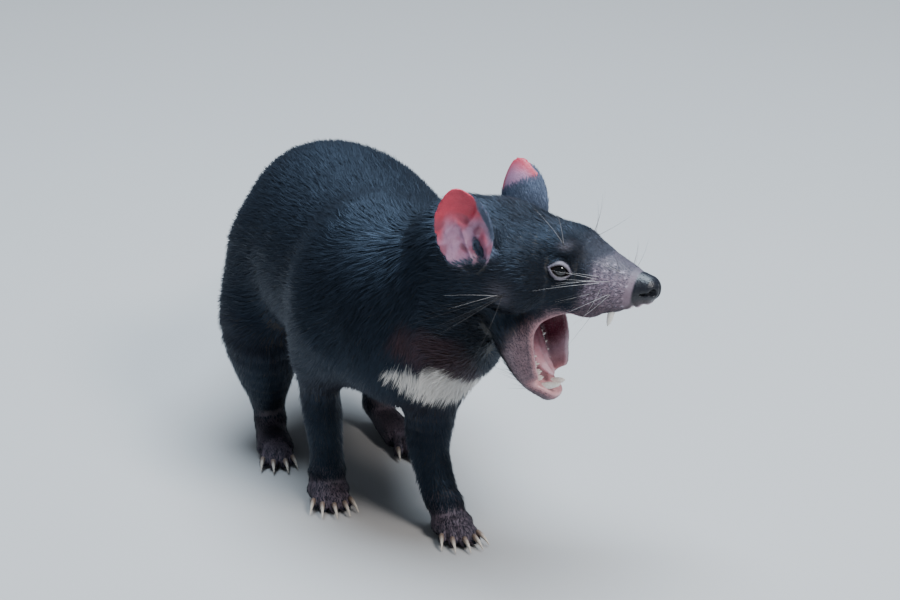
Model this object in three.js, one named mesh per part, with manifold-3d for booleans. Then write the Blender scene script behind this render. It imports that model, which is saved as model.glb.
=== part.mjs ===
// A life-size Tasmanian devil that stands square on the floor, turns its head to its left and opens its
// jaws wide. Millimetres, +Z up. The animal faces -Y, its left side is +X, and the origin is on the floor
// under the middle of its box. The body is one smooth shape, blended from the masses of a real devil out to
// the tips of its coat, and thin cuts then part it where the animal's own parts meet.
import * as THREE from "three";
import { mergeVertices } from "three/addons/utils/BufferGeometryUtils.js";
import Module from "manifold-3d";

const wasm = await Module();
wasm.setup();

// Driving sizes, before the last shift: the point on the floor midway between the fore feet is at 0, 0, 0.
const GAP = 0.35; // between neighbouring pieces
const BODY_STEP = 21; // size of a facet on the trunk, neck, upper arms and thighs
const LIMB_STEP = 12.5; // on the lower legs and tail
const HEAD_STEP = 7.4; // on the head and jaw
const FOOT_STEP = 6.6; // on the feet
const HEAD_AT = [60, -62, 228]; // the point midway between the ears
const HEAD_YAW = 44; // degrees to the animal's left of straight ahead
const HEAD_PITCH = -6.5; // the nose is a little lower than the ears
const HEAD_ROLL = 4; // the left ear is a little lower than the right
const GAPE = 60.6; // from the head's length down to the lower jaw's
const HINGE = [12, 0, -22]; // of the jaw, in the head's own frame
const JAW_LENGTH = 92; // from the hinge to the chin
const EYE = { at: [61, 23.8, 4.6], radius: 6.8 }; // the left eyeball, in the head's own frame
const NOSE_CUT = 113.5; // where the bare nose pad starts, along the head
const EAR = { tall: 64, wide: 41, deep: 9, thick: 3.4 };

const vector = (x, y, z) => new THREE.Vector3(x, y, z);
const radians = THREE.MathUtils.degToRad;
const mix = THREE.MathUtils.lerp;
const SIDES = { left: 1, right: -1 };
const UP = vector(0, 0, 1);
const BACKWARD = vector(0, 1, 0);

// A frame whose X runs along "ahead" and whose Z is as near as it can be to "up".
function frameOf(at, ahead, up = UP, roll = 0) {
  const x = ahead.clone().normalize();
  const y = up.clone().cross(x).normalize();
  const z = x.clone().cross(y);
  const turn = new THREE.Matrix4().makeRotationX(radians(roll));
  return new THREE.Matrix4().makeBasis(x, y, z).multiply(turn).setPosition(...at);
}

const yaw = radians(HEAD_YAW);
const pitch = radians(HEAD_PITCH);
const HEAD = frameOf(
  HEAD_AT,
  vector(Math.sin(yaw) * Math.cos(pitch), -Math.cos(yaw) * Math.cos(pitch), Math.sin(pitch)),
  UP,
  -HEAD_ROLL,
);
const JAW = HEAD.clone().multiply(
  frameOf(HINGE, vector(Math.cos(radians(GAPE)), 0, -Math.sin(radians(GAPE)))),
);

// Shapes as signed distances: a shape is a function of a point, negative inside it.
function blend(a, b, soft) {
  const near = Math.max(soft - Math.abs(a - b), 0) / soft;
  return Math.min(a, b) - (near * near * soft) / 4;
}
const tighter = (a, b, soft) => -blend(-a, -b, soft);
const carve = (a, b, soft) => tighter(a, -b, soft);

function together(shapes, soft) {
  return (p) => {
    let total = shapes[0](p);
    for (let i = 1; i < shapes.length; i++) total = blend(total, shapes[i](p), soft);
    return total;
  };
}

const inFrame = (frame, shape) => {
  const inverse = frame.clone().invert();
  const local = vector();
  return (p) => shape(local.copy(p).applyMatrix4(inverse));
};

// Distance to an ellipsoid or elliptical section, from offsets along its axes and its radii there.
function oval(u, v, w, a, b, c) {
  const near = Math.hypot(u / a, v / b, w / c);
  if (near < 1e-6) return -Math.min(a, b, c);
  return (near * (near - 1)) / Math.hypot(u / (a * a), v / (b * b), w / (c * c));
}

const lump = (at, [a, b, c]) => (p) => oval(p.x - at[0], p.y - at[1], p.z - at[2], a, b, c);
const lumps = (at, radii) =>
  Object.values(SIDES).map((side) => lump([at[0], at[1] * side, at[2]], radii));

// A rounded length of body: elliptical sections, half-widths "wide" and "high", along a smooth line of
// stations. "high" is measured towards "up", and is as much as "wide" where a station leaves it out.
function sweep(stations, up = UP, cuts = 4) {
  const line = new THREE.CatmullRomCurve3(stations.map((s) => vector(...s.at)));
  const size = new THREE.CatmullRomCurve3(stations.map((s) => vector(s.wide, s.high ?? s.wide, 0)));
  line.curveType = size.curveType = "catmullrom";
  const count = (stations.length - 1) * cuts;
  const lengths = Array.from({ length: count }, (_, i) => {
    const a = line.getPoint(i / count);
    const along = line.getPoint((i + 1) / count).sub(a);
    const far = along.length();
    const ahead = along.divideScalar(far);
    const side = ahead.clone().cross(up).normalize();
    const rise = side.clone().cross(ahead);
    return { a, far, ahead, side, rise, r0: size.getPoint(i / count), r1: size.getPoint((i + 1) / count) };
  });
  const q = vector();
  return (p) => {
    let least = Infinity;
    for (const { a, far, ahead, side, rise, r0, r1 } of lengths) {
      q.subVectors(p, a);
      const t = THREE.MathUtils.clamp(q.dot(ahead) / far, 0, 1);
      const past = q.dot(ahead) - t * far;
      const wide = mix(r0.x, r1.x, t);
      const high = mix(r0.y, r1.y, t);
      least = Math.min(least, oval(q.dot(side), q.dot(rise), past, wide, high, Math.min(wide, high)));
    }
    return least;
  };
}

// A value read off a smooth graph: "points" are [position, value] in rising order.
const graph = (points) => (x) => {
  const i = points.findIndex(([at]) => at > x);
  if (i === 0) return points[0][1];
  if (i < 0) return points[points.length - 1][1];
  const [[x0, y0], [x1, y1]] = [points[i - 1], points[i]];
  return mix(y0, y1, THREE.MathUtils.smoothstep(x, x0, x1));
};

// The trunk: broad hips, a deep belly and a narrower chest, with the back arched over them.
const trunk = sweep([
  { at: [16, 262, 157], wide: 30, high: 33 },
  { at: [16, 232, 158], wide: 61, high: 62 },
  { at: [15, 190, 159], wide: 78, high: 73 },
  { at: [14, 140, 159], wide: 81, high: 75 },
  { at: [12, 90, 161], wide: 76, high: 75 },
  { at: [8, 40, 163], wide: 67, high: 74 },
  { at: [5, 2, 165], wide: 56, high: 67 },
]);
const breast = lump([25, -16, 141], [50, 37, 43]);

// The neck is nearly as thick as the head, and bends to the animal's left.
const neck = sweep([
  { at: [2, 24, 172], wide: 56, high: 64 },
  { at: [20, -16, 182], wide: 54, high: 60 },
  { at: [40, -42, 206], wide: 50, high: 48 },
  { at: [60, -62, 222], wide: 46, high: 38 },
]);

// The skull and muzzle, in the head's own frame: X ahead to the nose, Y to its left, Z up.
const skull = together(
  [
    sweep([
      { at: [-26, 0, -1], wide: 42, high: 33 },
      { at: [0, 0, -2], wide: 44, high: 34 },
      { at: [25, 0, -3], wide: 45, high: 35 },
      { at: [50, 0, -2], wide: 31, high: 33 },
      { at: [66, 0, -1], wide: 22.5, high: 30.5 },
      { at: [80, 0, -1.5], wide: 21, high: 23.5 },
      { at: [98, 0, -1.5], wide: 17, high: 17.5 },
      { at: [110, 0, -1], wide: 12, high: 13.5 },
      { at: [117.5, 0, 1.5], wide: 9.5, high: 9.5 },
    ]),
    ...lumps([27, 30, -11], [26, 17, 25]),
    ...lumps([57, 16, 17], [15, 9, 9]),
    ...lumps([91, 10, -8], [18, 10, 12]),
    ...lumps([74, 18, -17], [20, 5.5, 10.5]),
  ],
  8,
);

// The ears: each stands on a fleshy root. "up" runs to its tip, "open" the way its hollow faces.
const EARS = {
  right: { foot: [7, -48, -8], up: [-0.27, -0.15, 0.95], open: [0.35, -0.93, -0.1] },
  left: { foot: [5, 47, -10], up: [-0.39, 0.26, 0.88], open: [0.2, 0.97, -0.1] },
};
for (const ear of Object.values(EARS))
  ear.frame = HEAD.clone().multiply(frameOf(ear.foot, vector(...ear.open), vector(...ear.up)));
const earRoots = Object.values(EARS).map((ear) => inFrame(ear.frame, lump([-20, 0, 13], [10, 14, 22])));

// The lower jaw, in its own frame: X from the hinge to the chin, Z towards the mouth.
const jawBone = sweep([
  { at: [0, 0, -2], wide: 35, high: 18 },
  { at: [30, 0, -4], wide: 30, high: 15 },
  { at: [54, 0, -4], wide: 23, high: 13.5 },
  { at: [70, 0, -1.5], wide: 17, high: 11.5 },
  { at: [JAW_LENGTH - 11, 0, 4.5], wide: 12, high: 10 },
]);

// The mouth: a space between palate and jaw, with a cheek stretched across it on each side as far as a
// curved edge.
const PALATE = graph([[20, -42], [48, -31], [70, -21], [98, -13], [116, -10]]);
const JAW_FLOOR = graph([[0, 8], [30, 2], [60, 0.5], [73, 2], [87, 12]]);
const MOUTH_HALF_WIDTH = graph([[24, 12], [46, 17], [62, 17.5], [78, 13.5], [90, 9], [104, 5]]);
const THROAT = 27; // from the hinge's axis to the back of the mouth
const CHEEK = 7.5; // thickness
const LEFT_STRETCH = 12; // the left cheek reaches this much further forward than the right, low down
const CHEEK_BACK = 43; // from the hinge to where the cheeks' edges are furthest back
const CHEEK_END = 72; // and to where they meet the lower jaw
const cheekEdge = (angle, stretch) => {
  const down = angle - 28;
  const further = down < 0 ? 9 * (down / 19) ** 2 : 7 * (down / 16) ** 3;
  return Math.min(CHEEK_BACK + further + stretch, CHEEK_END);
};

const jawInverse = JAW.clone().invert().multiply(HEAD);
const inJaw = vector();

function mouth(p) {
  const fromHinge = Math.hypot(p.x - HINGE[0], p.z - HINGE[2]);
  const gap = tighter(p.z - PALATE(p.x), JAW_FLOOR(inJaw.x) - inJaw.z, 4);
  const hollow = tighter(Math.abs(p.y) - MOUTH_HALF_WIDTH(fromHinge), THROAT - fromHinge, 5);
  return tighter(gap, hollow, 5);
}
function cheeks(p) {
  const fromHinge = Math.hypot(p.x - HINGE[0], p.z - HINGE[2]);
  const angle = THREE.MathUtils.radToDeg(Math.atan2(HINGE[2] - p.z, p.x - HINGE[0]));
  const gap = Math.max(p.z - PALATE(p.x) - CHEEK, JAW_FLOOR(inJaw.x) - CHEEK - inJaw.z);
  const stretch =
    LEFT_STRETCH * THREE.MathUtils.smoothstep(p.y, -5, 5) * THREE.MathUtils.smoothstep(angle, 22, 42);
  const edge = fromHinge - cheekEdge(THREE.MathUtils.clamp(angle, 0, GAPE), stretch);
  const wall = tighter(Math.abs(p.y) - MOUTH_HALF_WIDTH(fromHinge) - CHEEK, edge, 5);
  return tighter(gap, wall, 5);
}
const headShape = inFrame(HEAD, (p) => {
  inJaw.copy(p).applyMatrix4(jawInverse);
  return blend(blend(skull(p), jawBone(inJaw), 7), cheeks(p), 6);
});
const roots = together(earRoots, 2);
const mouthSpace = inFrame(HEAD, (p) => {
  inJaw.copy(p).applyMatrix4(jawInverse);
  return mouth(p);
});

// The legs, from the shoulder or hip down. The fore legs are straight posts, and the left one is set ahead.
const leg = (stations) => sweep(stations, BACKWARD);
const foreLegs = {
  right: leg([
    { at: [-28, 28, 158], wide: 36, high: 46 },
    { at: [-36, 52, 122], wide: 27, high: 33 },
    { at: [-36, 62, 95], wide: 19, high: 23 },
    { at: [-33, 62, 60], wide: 15.5, high: 16.5 },
    { at: [-30, 64, 26], wide: 13, high: 13 },
  ]),
  left: leg([
    { at: [34, 8, 152], wide: 36, high: 44 },
    { at: [34, 4, 118], wide: 29, high: 34 },
    { at: [30, 0, 92], wide: 23, high: 25 },
    { at: [27, -5, 60], wide: 17, high: 17.5 },
    { at: [33, -16, 25], wide: 13.5, high: 13 },
  ]),
};
const hindLegs = {
  right: leg([
    { at: [-34, 196, 150], wide: 35, high: 54 },
    { at: [-51, 178, 105], wide: 31, high: 49 },
    { at: [-48, 180, 70], wide: 25, high: 36 },
    { at: [-43, 190, 40], wide: 16, high: 20 },
    { at: [-41, 187, 22], wide: 11.5, high: 12.5 },
  ]),
  left: leg([
    { at: [54, 196, 150], wide: 38, high: 56 },
    { at: [58, 174, 105], wide: 31, high: 49 },
    { at: [52, 181, 70], wide: 25, high: 36 },
    { at: [47, 193, 40], wide: 16, high: 20 },
    { at: [46, 192, 22], wide: 11.5, high: 12.5 },
  ]),
};

// The feet, each in a frame on the floor under its pads with X towards its toes.
const FEET = {
  fore_foot_right: { at: [-31, 62], heading: [-0.1, -0.995], hind: false },
  fore_foot_left: { at: [36, -27], heading: [0.06, -0.998], hind: false },
  hind_foot_right: { at: [-46, 157], heading: [-0.14, -0.99], hind: true },
  hind_foot_left: { at: [50, 150], heading: [0.12, -0.993], hind: true },
};
const FORE_TOES = [-33, -16, 0, 15, 30].map((fan, i) => ({ fan, reach: [22, 27, 29, 28, 24][i] }));
const HIND_TOES = [-24, -8, 8, 23].map((fan, i) => ({ fan, reach: [26, 30, 30, 25][i] }));
const TOE = { root: 9, rootHeight: 10, tipHeight: 4.2, thick: 5.6 };
const toeAt = (fan, reach, height) =>
  vector(Math.cos(radians(fan)) * reach, Math.sin(radians(fan)) * reach, height);

function footShape({ hind, frame }) {
  const toes = (hind ? HIND_TOES : FORE_TOES).map(({ fan, reach }) =>
    sweep([
      { at: toeAt(fan, TOE.root, TOE.rootHeight).toArray(), wide: TOE.thick },
      { at: toeAt(fan, (TOE.root + reach) / 2, TOE.rootHeight).toArray(), wide: TOE.thick - 0.3 },
      { at: toeAt(fan, reach, TOE.tipHeight).toArray(), wide: TOE.thick - 1 },
    ]),
  );
  const pad = hind
    ? sweep([
        { at: [-44, 0, 17], wide: 10, high: 9.5 },
        { at: [-22, 0, 12], wide: 12.5, high: 10 },
        { at: [4, 0, 8.5], wide: 15, high: 10 },
      ])
    : together([lump([4, 0, 9.5], [15, 16.5, 11]), lump([-4, 0, 18], [11, 12, 12])], 6);
  return inFrame(frame, together([pad, ...toes], 3));
}
for (const foot of Object.values(FEET))
  foot.frame = frameOf([...foot.at, 0], vector(...foot.heading, 0));

// The tail: thick at the root, held low behind the body.
const tailLine = [
  { at: [12, 236, 166], wide: 30 },
  { at: [16, 274, 158], wide: 23 },
  { at: [30, 330, 138], wide: 19 },
  { at: [47, 395, 112], wide: 15.5 },
  { at: [62, 450, 92], wide: 10.5 },
  { at: [70, 486, 82], wide: 4 },
];
const tail = sweep(tailLine);

const feet = Object.values(FEET).map(footShape);
const body = together([trunk, breast, neck], 26);
const legShapes = [...Object.values(foreLegs), ...Object.values(hindLegs)];
const footed = together(feet, 3);
const limbs = together(legShapes, 6);
function devil(p) {
  const bulk = blend(blend(body(p), tail(p), 18), limbs(p), 20);
  const head = blend(headShape(p), roots(p), 9);
  const whole = blend(blend(bulk, head, 14), footed(p), 7);
  return carve(whole, mouthSpace(p), 2.5);
}

// Meshes a shape between two corners: one vertex for each cell that its surface crosses, moved onto it.
function surfaceOf(shape, low, high, step, level = 0) {
  const counts = low.map((from, i) => Math.ceil((high[i] - from) / step) + 1);
  const [nx, ny, nz] = counts;
  const at = (i, j, k) => i + nx * (j + ny * k);
  const point = vector();
  const value = new Float32Array(nx * ny * nz).fill(1e3);
  for (let k = 1; k < nz - 1; k++)
    for (let j = 1; j < ny - 1; j++)
      for (let i = 1; i < nx - 1; i++) {
        point.set(low[0] + i * step, low[1] + j * step, low[2] + k * step);
        value[at(i, j, k)] = shape(point) - level;
      }
  unpinch(value, counts, at);
  const corners = [...Array(8).keys()].map((c) => [c & 1, (c >> 1) & 1, c >> 2]);
  const edges = corners.flatMap((a, m) =>
    corners.slice(m + 1).filter((b) => a.filter((x, i) => x !== b[i]).length === 1).map((b) => [a, b]),
  );
  const vertexOf = new Int32Array(nx * ny * nz).fill(-1);
  const positions = [];
  for (let k = 0; k < nz - 1; k++)
    for (let j = 0; j < ny - 1; j++)
      for (let i = 0; i < nx - 1; i++) {
        const sum = [0, 0, 0];
        let crossings = 0;
        for (const [a, b] of edges) {
          const va = value[at(i + a[0], j + a[1], k + a[2])];
          const vb = value[at(i + b[0], j + b[1], k + b[2])];
          if (va < 0 === vb < 0) continue;
          const t = va / (va - vb);
          for (let x = 0; x < 3; x++) sum[x] += mix(a[x], b[x], t);
          crossings++;
        }
        if (!crossings) continue;
        vertexOf[at(i, j, k)] = positions.length / 3;
        positions.push(...[i, j, k].map((cell, x) => low[x] + (cell + sum[x] / crossings) * step));
      }
  const triangles = [];
  const around = [[0, 0], [-1, 0], [-1, -1], [0, -1]];
  for (let axis = 0; axis < 3; axis++) {
    const [u, w] = [(axis + 1) % 3, (axis + 2) % 3];
    for (let k = 0; k < nz - 1; k++)
      for (let j = 0; j < ny - 1; j++)
        for (let i = 0; i < nx - 1; i++) {
          const cell = [i, j, k];
          const next = [...cell];
          next[axis]++;
          const inside = value[at(...cell)] < 0;
          if (inside === value[at(...next)] < 0) continue;
          const quad = around.map(([du, dw]) => {
            const c = [...cell];
            c[u] += du;
            c[w] += dw;
            return vertexOf[at(...c)];
          });
          const [a, b, c, d] = inside ? quad : quad.reverse();
          triangles.push(a, b, c, a, c, d);
        }
  }
  for (let round = 0; round < 3; round++) settle(shape, positions, step, level);
  return solidFrom(positions, triangles);
}

// Where only two opposite corners of a cell's face are inside, the surface would touch itself along an edge.
// The outer corner nearest to the surface is taken in there, until no such face is left.
function unpinch(value, counts, at) {
  const strides = [at(1, 0, 0), at(0, 1, 0), at(0, 0, 1)];
  let changed = true;
  while (changed) {
    changed = false;
    for (let k = 0; k < counts[2] - 1; k++)
      for (let j = 0; j < counts[1] - 1; j++)
        for (let i = 0; i < counts[0] - 1; i++)
          for (let axis = 0; axis < 3; axis++) {
            const [u, w] = [strides[axis], strides[(axis + 1) % 3]];
            const base = at(i, j, k);
            const face = [base, base + u, base + u + w, base + w];
            const inside = face.map((corner) => value[corner] < 0);
            if (inside[0] !== inside[2] || inside[1] !== inside[3] || inside[0] === inside[1]) continue;
            const outside = inside[0] ? [face[1], face[3]] : [face[0], face[2]];
            value[value[outside[0]] < value[outside[1]] ? outside[0] : outside[1]] = -1e-3;
            changed = true;
          }
  }
}

// Moves each vertex along the shape's slope onto its surface, by no more than a third of a cell.
function settle(shape, positions, step, level) {
  const p = vector();
  const slope = vector();
  const reach = 0.3;
  for (let n = 0; n < positions.length; n += 3) {
    p.fromArray(positions, n);
    const here = shape(p) - level;
    slope.set(0, 0, 0);
    for (const axis of ["x", "y", "z"]) {
      p[axis] += reach;
      slope[axis] = (shape(p) - level - here) / reach;
      p[axis] -= reach;
    }
    const steep = Math.max(slope.lengthSq(), 0.2);
    const move = THREE.MathUtils.clamp(-here / steep, -step / 3, step / 3);
    p.addScaledVector(slope, move).toArray(positions, n);
  }
}

function solidFrom(positions, triangles) {
  return new wasm.Manifold(
    new wasm.Mesh({
      numProp: 3,
      vertProperties: new Float32Array(positions),
      triVerts: new Uint32Array(triangles),
    }),
  );
}

// A three.js geometry, placed by a matrix, as a solid.
function solidOf(geometry, matrix = new THREE.Matrix4()) {
  const bare = new THREE.BufferGeometry();
  bare.setAttribute("position", geometry.getAttribute("position").clone());
  if (geometry.index) bare.setIndex(geometry.index);
  const merged = mergeVertices(bare.applyMatrix4(matrix), 1e-4);
  return solidFrom(merged.getAttribute("position").array, merged.index.array);
}

// Cutting tools. Each takes how much it is grown, so that a cut leaves a gap.
const block = (frame, low, high) => (grow) => {
  const size = high.map((h, i) => h - low[i] + 2 * grow);
  const centre = high.map((h, i) => (h + low[i]) / 2);
  const box = new THREE.BoxGeometry(...size).translate(...centre);
  return solidOf(box, frame);
};
const ball = (frame, at, radii) => (grow) => {
  const sphere = new THREE.SphereGeometry(1, 12, 8);
  sphere.scale(...radii.map((r) => r + grow)).translate(...at);
  return solidOf(sphere, frame);
};
const largest = (solid) => solid.decompose().reduce((a, b) => (a.volume() > b.volume() ? a : b));

const FLOOR = new THREE.Matrix4();
const underFloor = block(FLOOR, [-400, -400, -100], [400, 700, 0])(0);
const bodyMesh = surfaceOf(devil, [-115, -195, -30], [195, 510, 280], BODY_STEP).subtract(underFloor);
const meshAround = (low, high, step) => surfaceOf(devil, low, high, step).subtract(underFloor);
const pieces = new Map();
let rest = bodyMesh;

// Takes the part of the body inside a tool, as one named piece, from a finer mesh if one is given.
const taken = [];
function part(name, tool, fine) {
  let piece = (fine ?? rest).intersect(tool(-GAP / 2));
  if (fine) for (const earlier of taken) piece = piece.subtract(earlier);
  pieces.set(name, largest(piece));
  taken.push(tool(GAP / 2));
  rest = rest.subtract(tool(GAP / 2));
}
const cut = (name, solid) => pieces.set(name, largest(pieces.get(name).subtract(solid)));
const join = (name, solid) => pieces.set(name, pieces.get(name).add(solid));

// Head, jaw and nose pad. The neck's cut leans, from behind the crown to under the jaw's angle.
const headCut = HEAD.clone().multiply(frameOf([-14, 0, -10], vector(0.9, 0, 0.44)));
const inFront = block(headCut, [0, -95, -125], [190, 95, 120]);
const throat = block(JAW, [-60, -90, -120], [130, 90, -24]);
const headMesh = surfaceOf(devil, [-25, -195, 95], [185, 5, 290], HEAD_STEP);
part("head", (grow) => inFront(grow).subtract(throat(-grow)), headMesh);
const gapeCut = HEAD.clone().multiply(frameOf(HINGE, vector(0.857, 0, -0.515)));
const lowerHalf = block(gapeCut, [-13, -90, -150], [120, 90, 0]);
const noseBlock = block(HEAD, [NOSE_CUT, -30, -30], [150, 30, 30]);
const wholeHead = pieces.get("head");
pieces.set("lower_jaw", largest(wholeHead.intersect(lowerHalf(-GAP / 2))));
pieces.set("nose_pad", largest(wholeHead.intersect(noseBlock(-GAP / 2))));
cut("head", lowerHalf(GAP / 2));
cut("head", noseBlock(GAP / 2));
for (const side of Object.values(SIDES)) {
  const nostril = ball(HEAD, [124.5, 5.6 * side, 1], [4.5, 2.4, 2.7]);
  cut("nose_pad", nostril(0));
}

// Feet, lower legs, tail and neck, each cut from what is left of the body.
for (const [name, foot] of Object.entries(FEET)) {
  const [x, y] = foot.at;
  const mesh = meshAround([x - 48, y - 48, -12], [x + 48, y + 75, 60], FOOT_STEP);
  part(name, block(foot.frame, [foot.hind ? -62 : -30, -34, -10], [50, 34, foot.hind ? 34 : 30]), mesh);
}
const ELBOW = 82; // height
const KNEE = 74;
const KNEES = { right: [-50, 186], left: [56, 186] };
const ELBOWS = { right: [-36, 62], left: [30, 0] };
for (const [side, sign] of Object.entries(SIDES)) {
  const [ex, ey] = ELBOWS[side];
  const arm = meshAround([ex - 45, ey - 50, 12], [ex + 45, ey + 50, 100], LIMB_STEP);
  part(`forearm_${side}`, block(FLOOR, [ex - 28, ey - 45, 20], [ex + 28, ey + 32, ELBOW]), arm);
  part(`upper_arm_${side}`, ball(FLOOR, [ex + sign * 12, ey - 8, 124], [42, 44, 50]));
  const [kx, ky] = KNEES[side];
  const shin = meshAround([kx - 50, ky - 60, 16], [kx + 50, ky + 60, 90], LIMB_STEP);
  part(`shank_${side}`, block(FLOOR, [kx - 40, ky - 55, 20], [kx + 40, ky + 45, KNEE]), shin);
  part(`thigh_${side}`, ball(FLOOR, [kx + sign * 14, ky + 2, 122], [50, 60, 62]));
}
const tailFrame = frameOf([17, 284, 156], vector(...tailLine[3].at).sub(vector(...tailLine[1].at)));
const tailMesh = meshAround([-40, 236, 50], [110, 515, 215], LIMB_STEP);
part("tail", block(tailFrame, [0, -60, -60], [300, 60, 60]), tailMesh);
part("neck", block(frameOf([14, -6, 178], vector(0.42, -0.8, 0.42)), [0, -100, -95], [160, 100, 110]));
pieces.set("trunk", largest(rest));

// Ears: each is a ball flattened into a leaf and hollowed on one side, with the head cut out of it.
const headGrown = surfaceOf(devil, [-25, -195, 95], [185, 5, 290], HEAD_STEP, 2 * GAP);
for (const [side, ear] of Object.entries(EARS)) {
  const leaf = new THREE.SphereGeometry(1, 16, 8);
  const at = leaf.getAttribute("position");
  for (let i = 0; i < at.count; i++) {
    const [across, thickness, up] = [-at.getX(i), at.getY(i), at.getZ(i)];
    const hollow = EAR.deep * (1 - across ** 2 - up ** 2);
    const narrowing = 1 - 0.14 * up ** 2;
    const wide = across * narrowing * (EAR.wide / 2);
    at.setXYZ(i, (thickness * EAR.thick) / 2 - hollow, wide, (up + 1) * (EAR.tall / 2));
  }
  const flap = solidOf(leaf, ear.frame);
  pieces.set(`ear_${side}`, largest(flap.subtract(headGrown).subtract(wholeHead).subtract(bodyMesh)));
}

// Eyes, each in a socket that its ball fills.
for (const [side, sign] of Object.entries(SIDES)) {
  const [x, y, z] = EYE.at;
  const eye = new THREE.SphereGeometry(1, 12, 8);
  const centre = HEAD.clone().multiply(new THREE.Matrix4().makeTranslation(x, y * sign, z));
  const sized = (r) => centre.clone().scale(vector(r, r, r));
  cut("head", solidOf(eye, sized(EYE.radius + GAP)));
  pieces.set(`eye_${side}`, solidOf(eye, sized(EYE.radius)));
}

// The tongue, in a groove that it fills: a long ball, arched along its length.
const TONGUE = { at: [46, 0, 4.5], radii: [27, 11, 6], arch: 3.5 };
function tongue(grow) {
  const body = new THREE.SphereGeometry(1, 12, 8).scale(...TONGUE.radii.map((r) => r + grow));
  const at = body.getAttribute("position");
  for (let i = 0; i < at.count; i++)
    at.setZ(i, at.getZ(i) + TONGUE.arch * (at.getX(i) / TONGUE.radii[0]) ** 2);
  return solidOf(body.translate(...TONGUE.at), JAW);
}
cut("lower_jaw", tongue(GAP));
cut("head", tongue(GAP));
pieces.set("tongue", tongue(0));

// Teeth: cones set in the gums, "along" the jaw and "aside" from its middle.
function tooth(frame, [along, aside, gum], tall, thick) {
  const root = 5;
  const cone = new THREE.ConeGeometry(thick, Math.abs(tall) + root, 5);
  cone.rotateX(Math.PI / 2).translate(0, 0, (Math.abs(tall) - root) / 2);
  if (tall < 0) cone.rotateX(Math.PI);
  return solidOf(cone.translate(along, aside, gum), frame);
}
const CANINES = {
  upper: { at: [99, 12.5, -13], tall: -15, thick: 4.2 },
  lower: { at: [78, 8.2, 6], tall: 14, thick: 4 },
};
const CHEEK_TEETH = 4;
for (const side of Object.values(SIDES)) {
  const teeth = (name, frame, canine, rowEnd, small) => {
    const [x, y, z] = canine.at;
    join(name, tooth(frame, [x, y * side, z], canine.tall, canine.thick));
    for (let i = 1; i <= CHEEK_TEETH; i++) {
      const at = rowEnd.map((end, axis) => mix(canine.at[axis], end, i / CHEEK_TEETH));
      join(name, tooth(frame, [at[0], at[1] * side, at[2]], small * (0.8 + i * 0.12), 3 + i * 0.3));
    }
    for (const [ahead, inward] of [[4.5, 0.66], [6.5, 0.24]])
      join(name, tooth(frame, [x + ahead, y * inward * side, z], small * 0.6, 2));
  };
  teeth("head", HEAD, CANINES.upper, [60, 17.5, -23], -6);
  teeth("lower_jaw", JAW, CANINES.lower, [46, 16, 0], 7);
}

// Claws: bent cones, each set in the end of a toe.
const CLAW = { fore: 13.5, hind: 11, thick: 2.1, sunk: 3.5, drop: 5.5, turn: 0.6 };
for (const [name, foot] of Object.entries(FEET)) {
  const length = foot.hind ? CLAW.hind : CLAW.fore;
  (foot.hind ? HIND_TOES : FORE_TOES).forEach(({ fan, reach }, i) => {
    const claw = (grow) => {
      const cone = new THREE.ConeGeometry(CLAW.thick + grow, length + grow, 5, 2).rotateZ(-Math.PI / 2);
      const at = cone.getAttribute("position");
      for (let n = 0; n < at.count; n++) {
        const along = (at.getX(n) + length / 2) / length;
        at.setZ(n, at.getZ(n) - CLAW.drop * along ** 2);
      }
      cone.translate(length / 2 - CLAW.sunk, 0, 0).rotateZ(radians(fan * CLAW.turn));
      const tip = toeAt(fan, reach + TOE.thick - 1, TOE.tipHeight + 3);
      return solidOf(cone.translate(...tip.toArray()), foot.frame);
    };
    cut(name, claw(GAP));
    pieces.set(`${name.replace("foot", "claw")}_${i + 1}`, claw(0));
  });
}

// Materials, from the photograph: near-black fur, purplish bare skin, pink ears and tongue, pale claws.
const material = (color, roughness, metalness = 0) =>
  new THREE.MeshStandardMaterial({ color, roughness, metalness });
const FINISHES = [
  [/claw/, material(0xb9a78e, 0.45)],
  [/foot/, material(0x3a2c31, 0.6)],
  [/nose/, material(0x101114, 0.3)],
  [/eye/, material(0x0c0a0a, 0.08)],
  [/ear_/, material(0xb5565c, 0.55)],
  [/tongue/, material(0xc06a70, 0.35)],
  [/./, material(0x14151a, 0.75)],
];

// A solid's surface with its slivers, which cutting leaves, closed up: "fine" is the least length of an edge.
function surfaceGeometry(solid, fine = 0.03) {
  const mesh = solid.getMesh();
  const cut = new THREE.BufferGeometry();
  cut.setAttribute("position", new THREE.BufferAttribute(mesh.vertProperties.slice(), 3));
  cut.setIndex(new THREE.BufferAttribute(mesh.triVerts.slice(), 1));
  const geometry = mergeVertices(cut, fine);
  const corners = geometry.index.array;
  const kept = new Map();
  for (let i = 0; i < corners.length; i += 3) {
    const triangle = [...corners.slice(i, i + 3)];
    if (new Set(triangle).size < 3) continue;
    const key = [...triangle].sort((a, b) => a - b).join();
    if (kept.has(key)) kept.delete(key);
    else kept.set(key, triangle);
  }
  geometry.setIndex([...kept.values()].flat());
  geometry.computeVertexNormals();
  return geometry;
}

const devilGroup = new THREE.Group();
const extent = new THREE.Box3();
for (const [name, solid] of pieces) {
  const finish = FINISHES.find(([pattern]) => pattern.test(name))[1];
  const node = new THREE.Mesh(surfaceGeometry(solid), finish);
  node.name = name;
  devilGroup.add(node);
  extent.expandByObject(node);
}
const middle = extent.getCenter(vector());
devilGroup.position.set(-middle.x, -middle.y, 0);

export default devilGroup;
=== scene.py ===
"""A Tasmanian devil as a museum shows it: one skin over the whole body, a coat of tapered tufts,
and separate eyes, teeth, tongue, claws and whiskers. Shapes are worked out in millimetres."""
import math
import bmesh
import bpy
import numpy as np
import openvdb
from mathutils import Matrix, Vector


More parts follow.
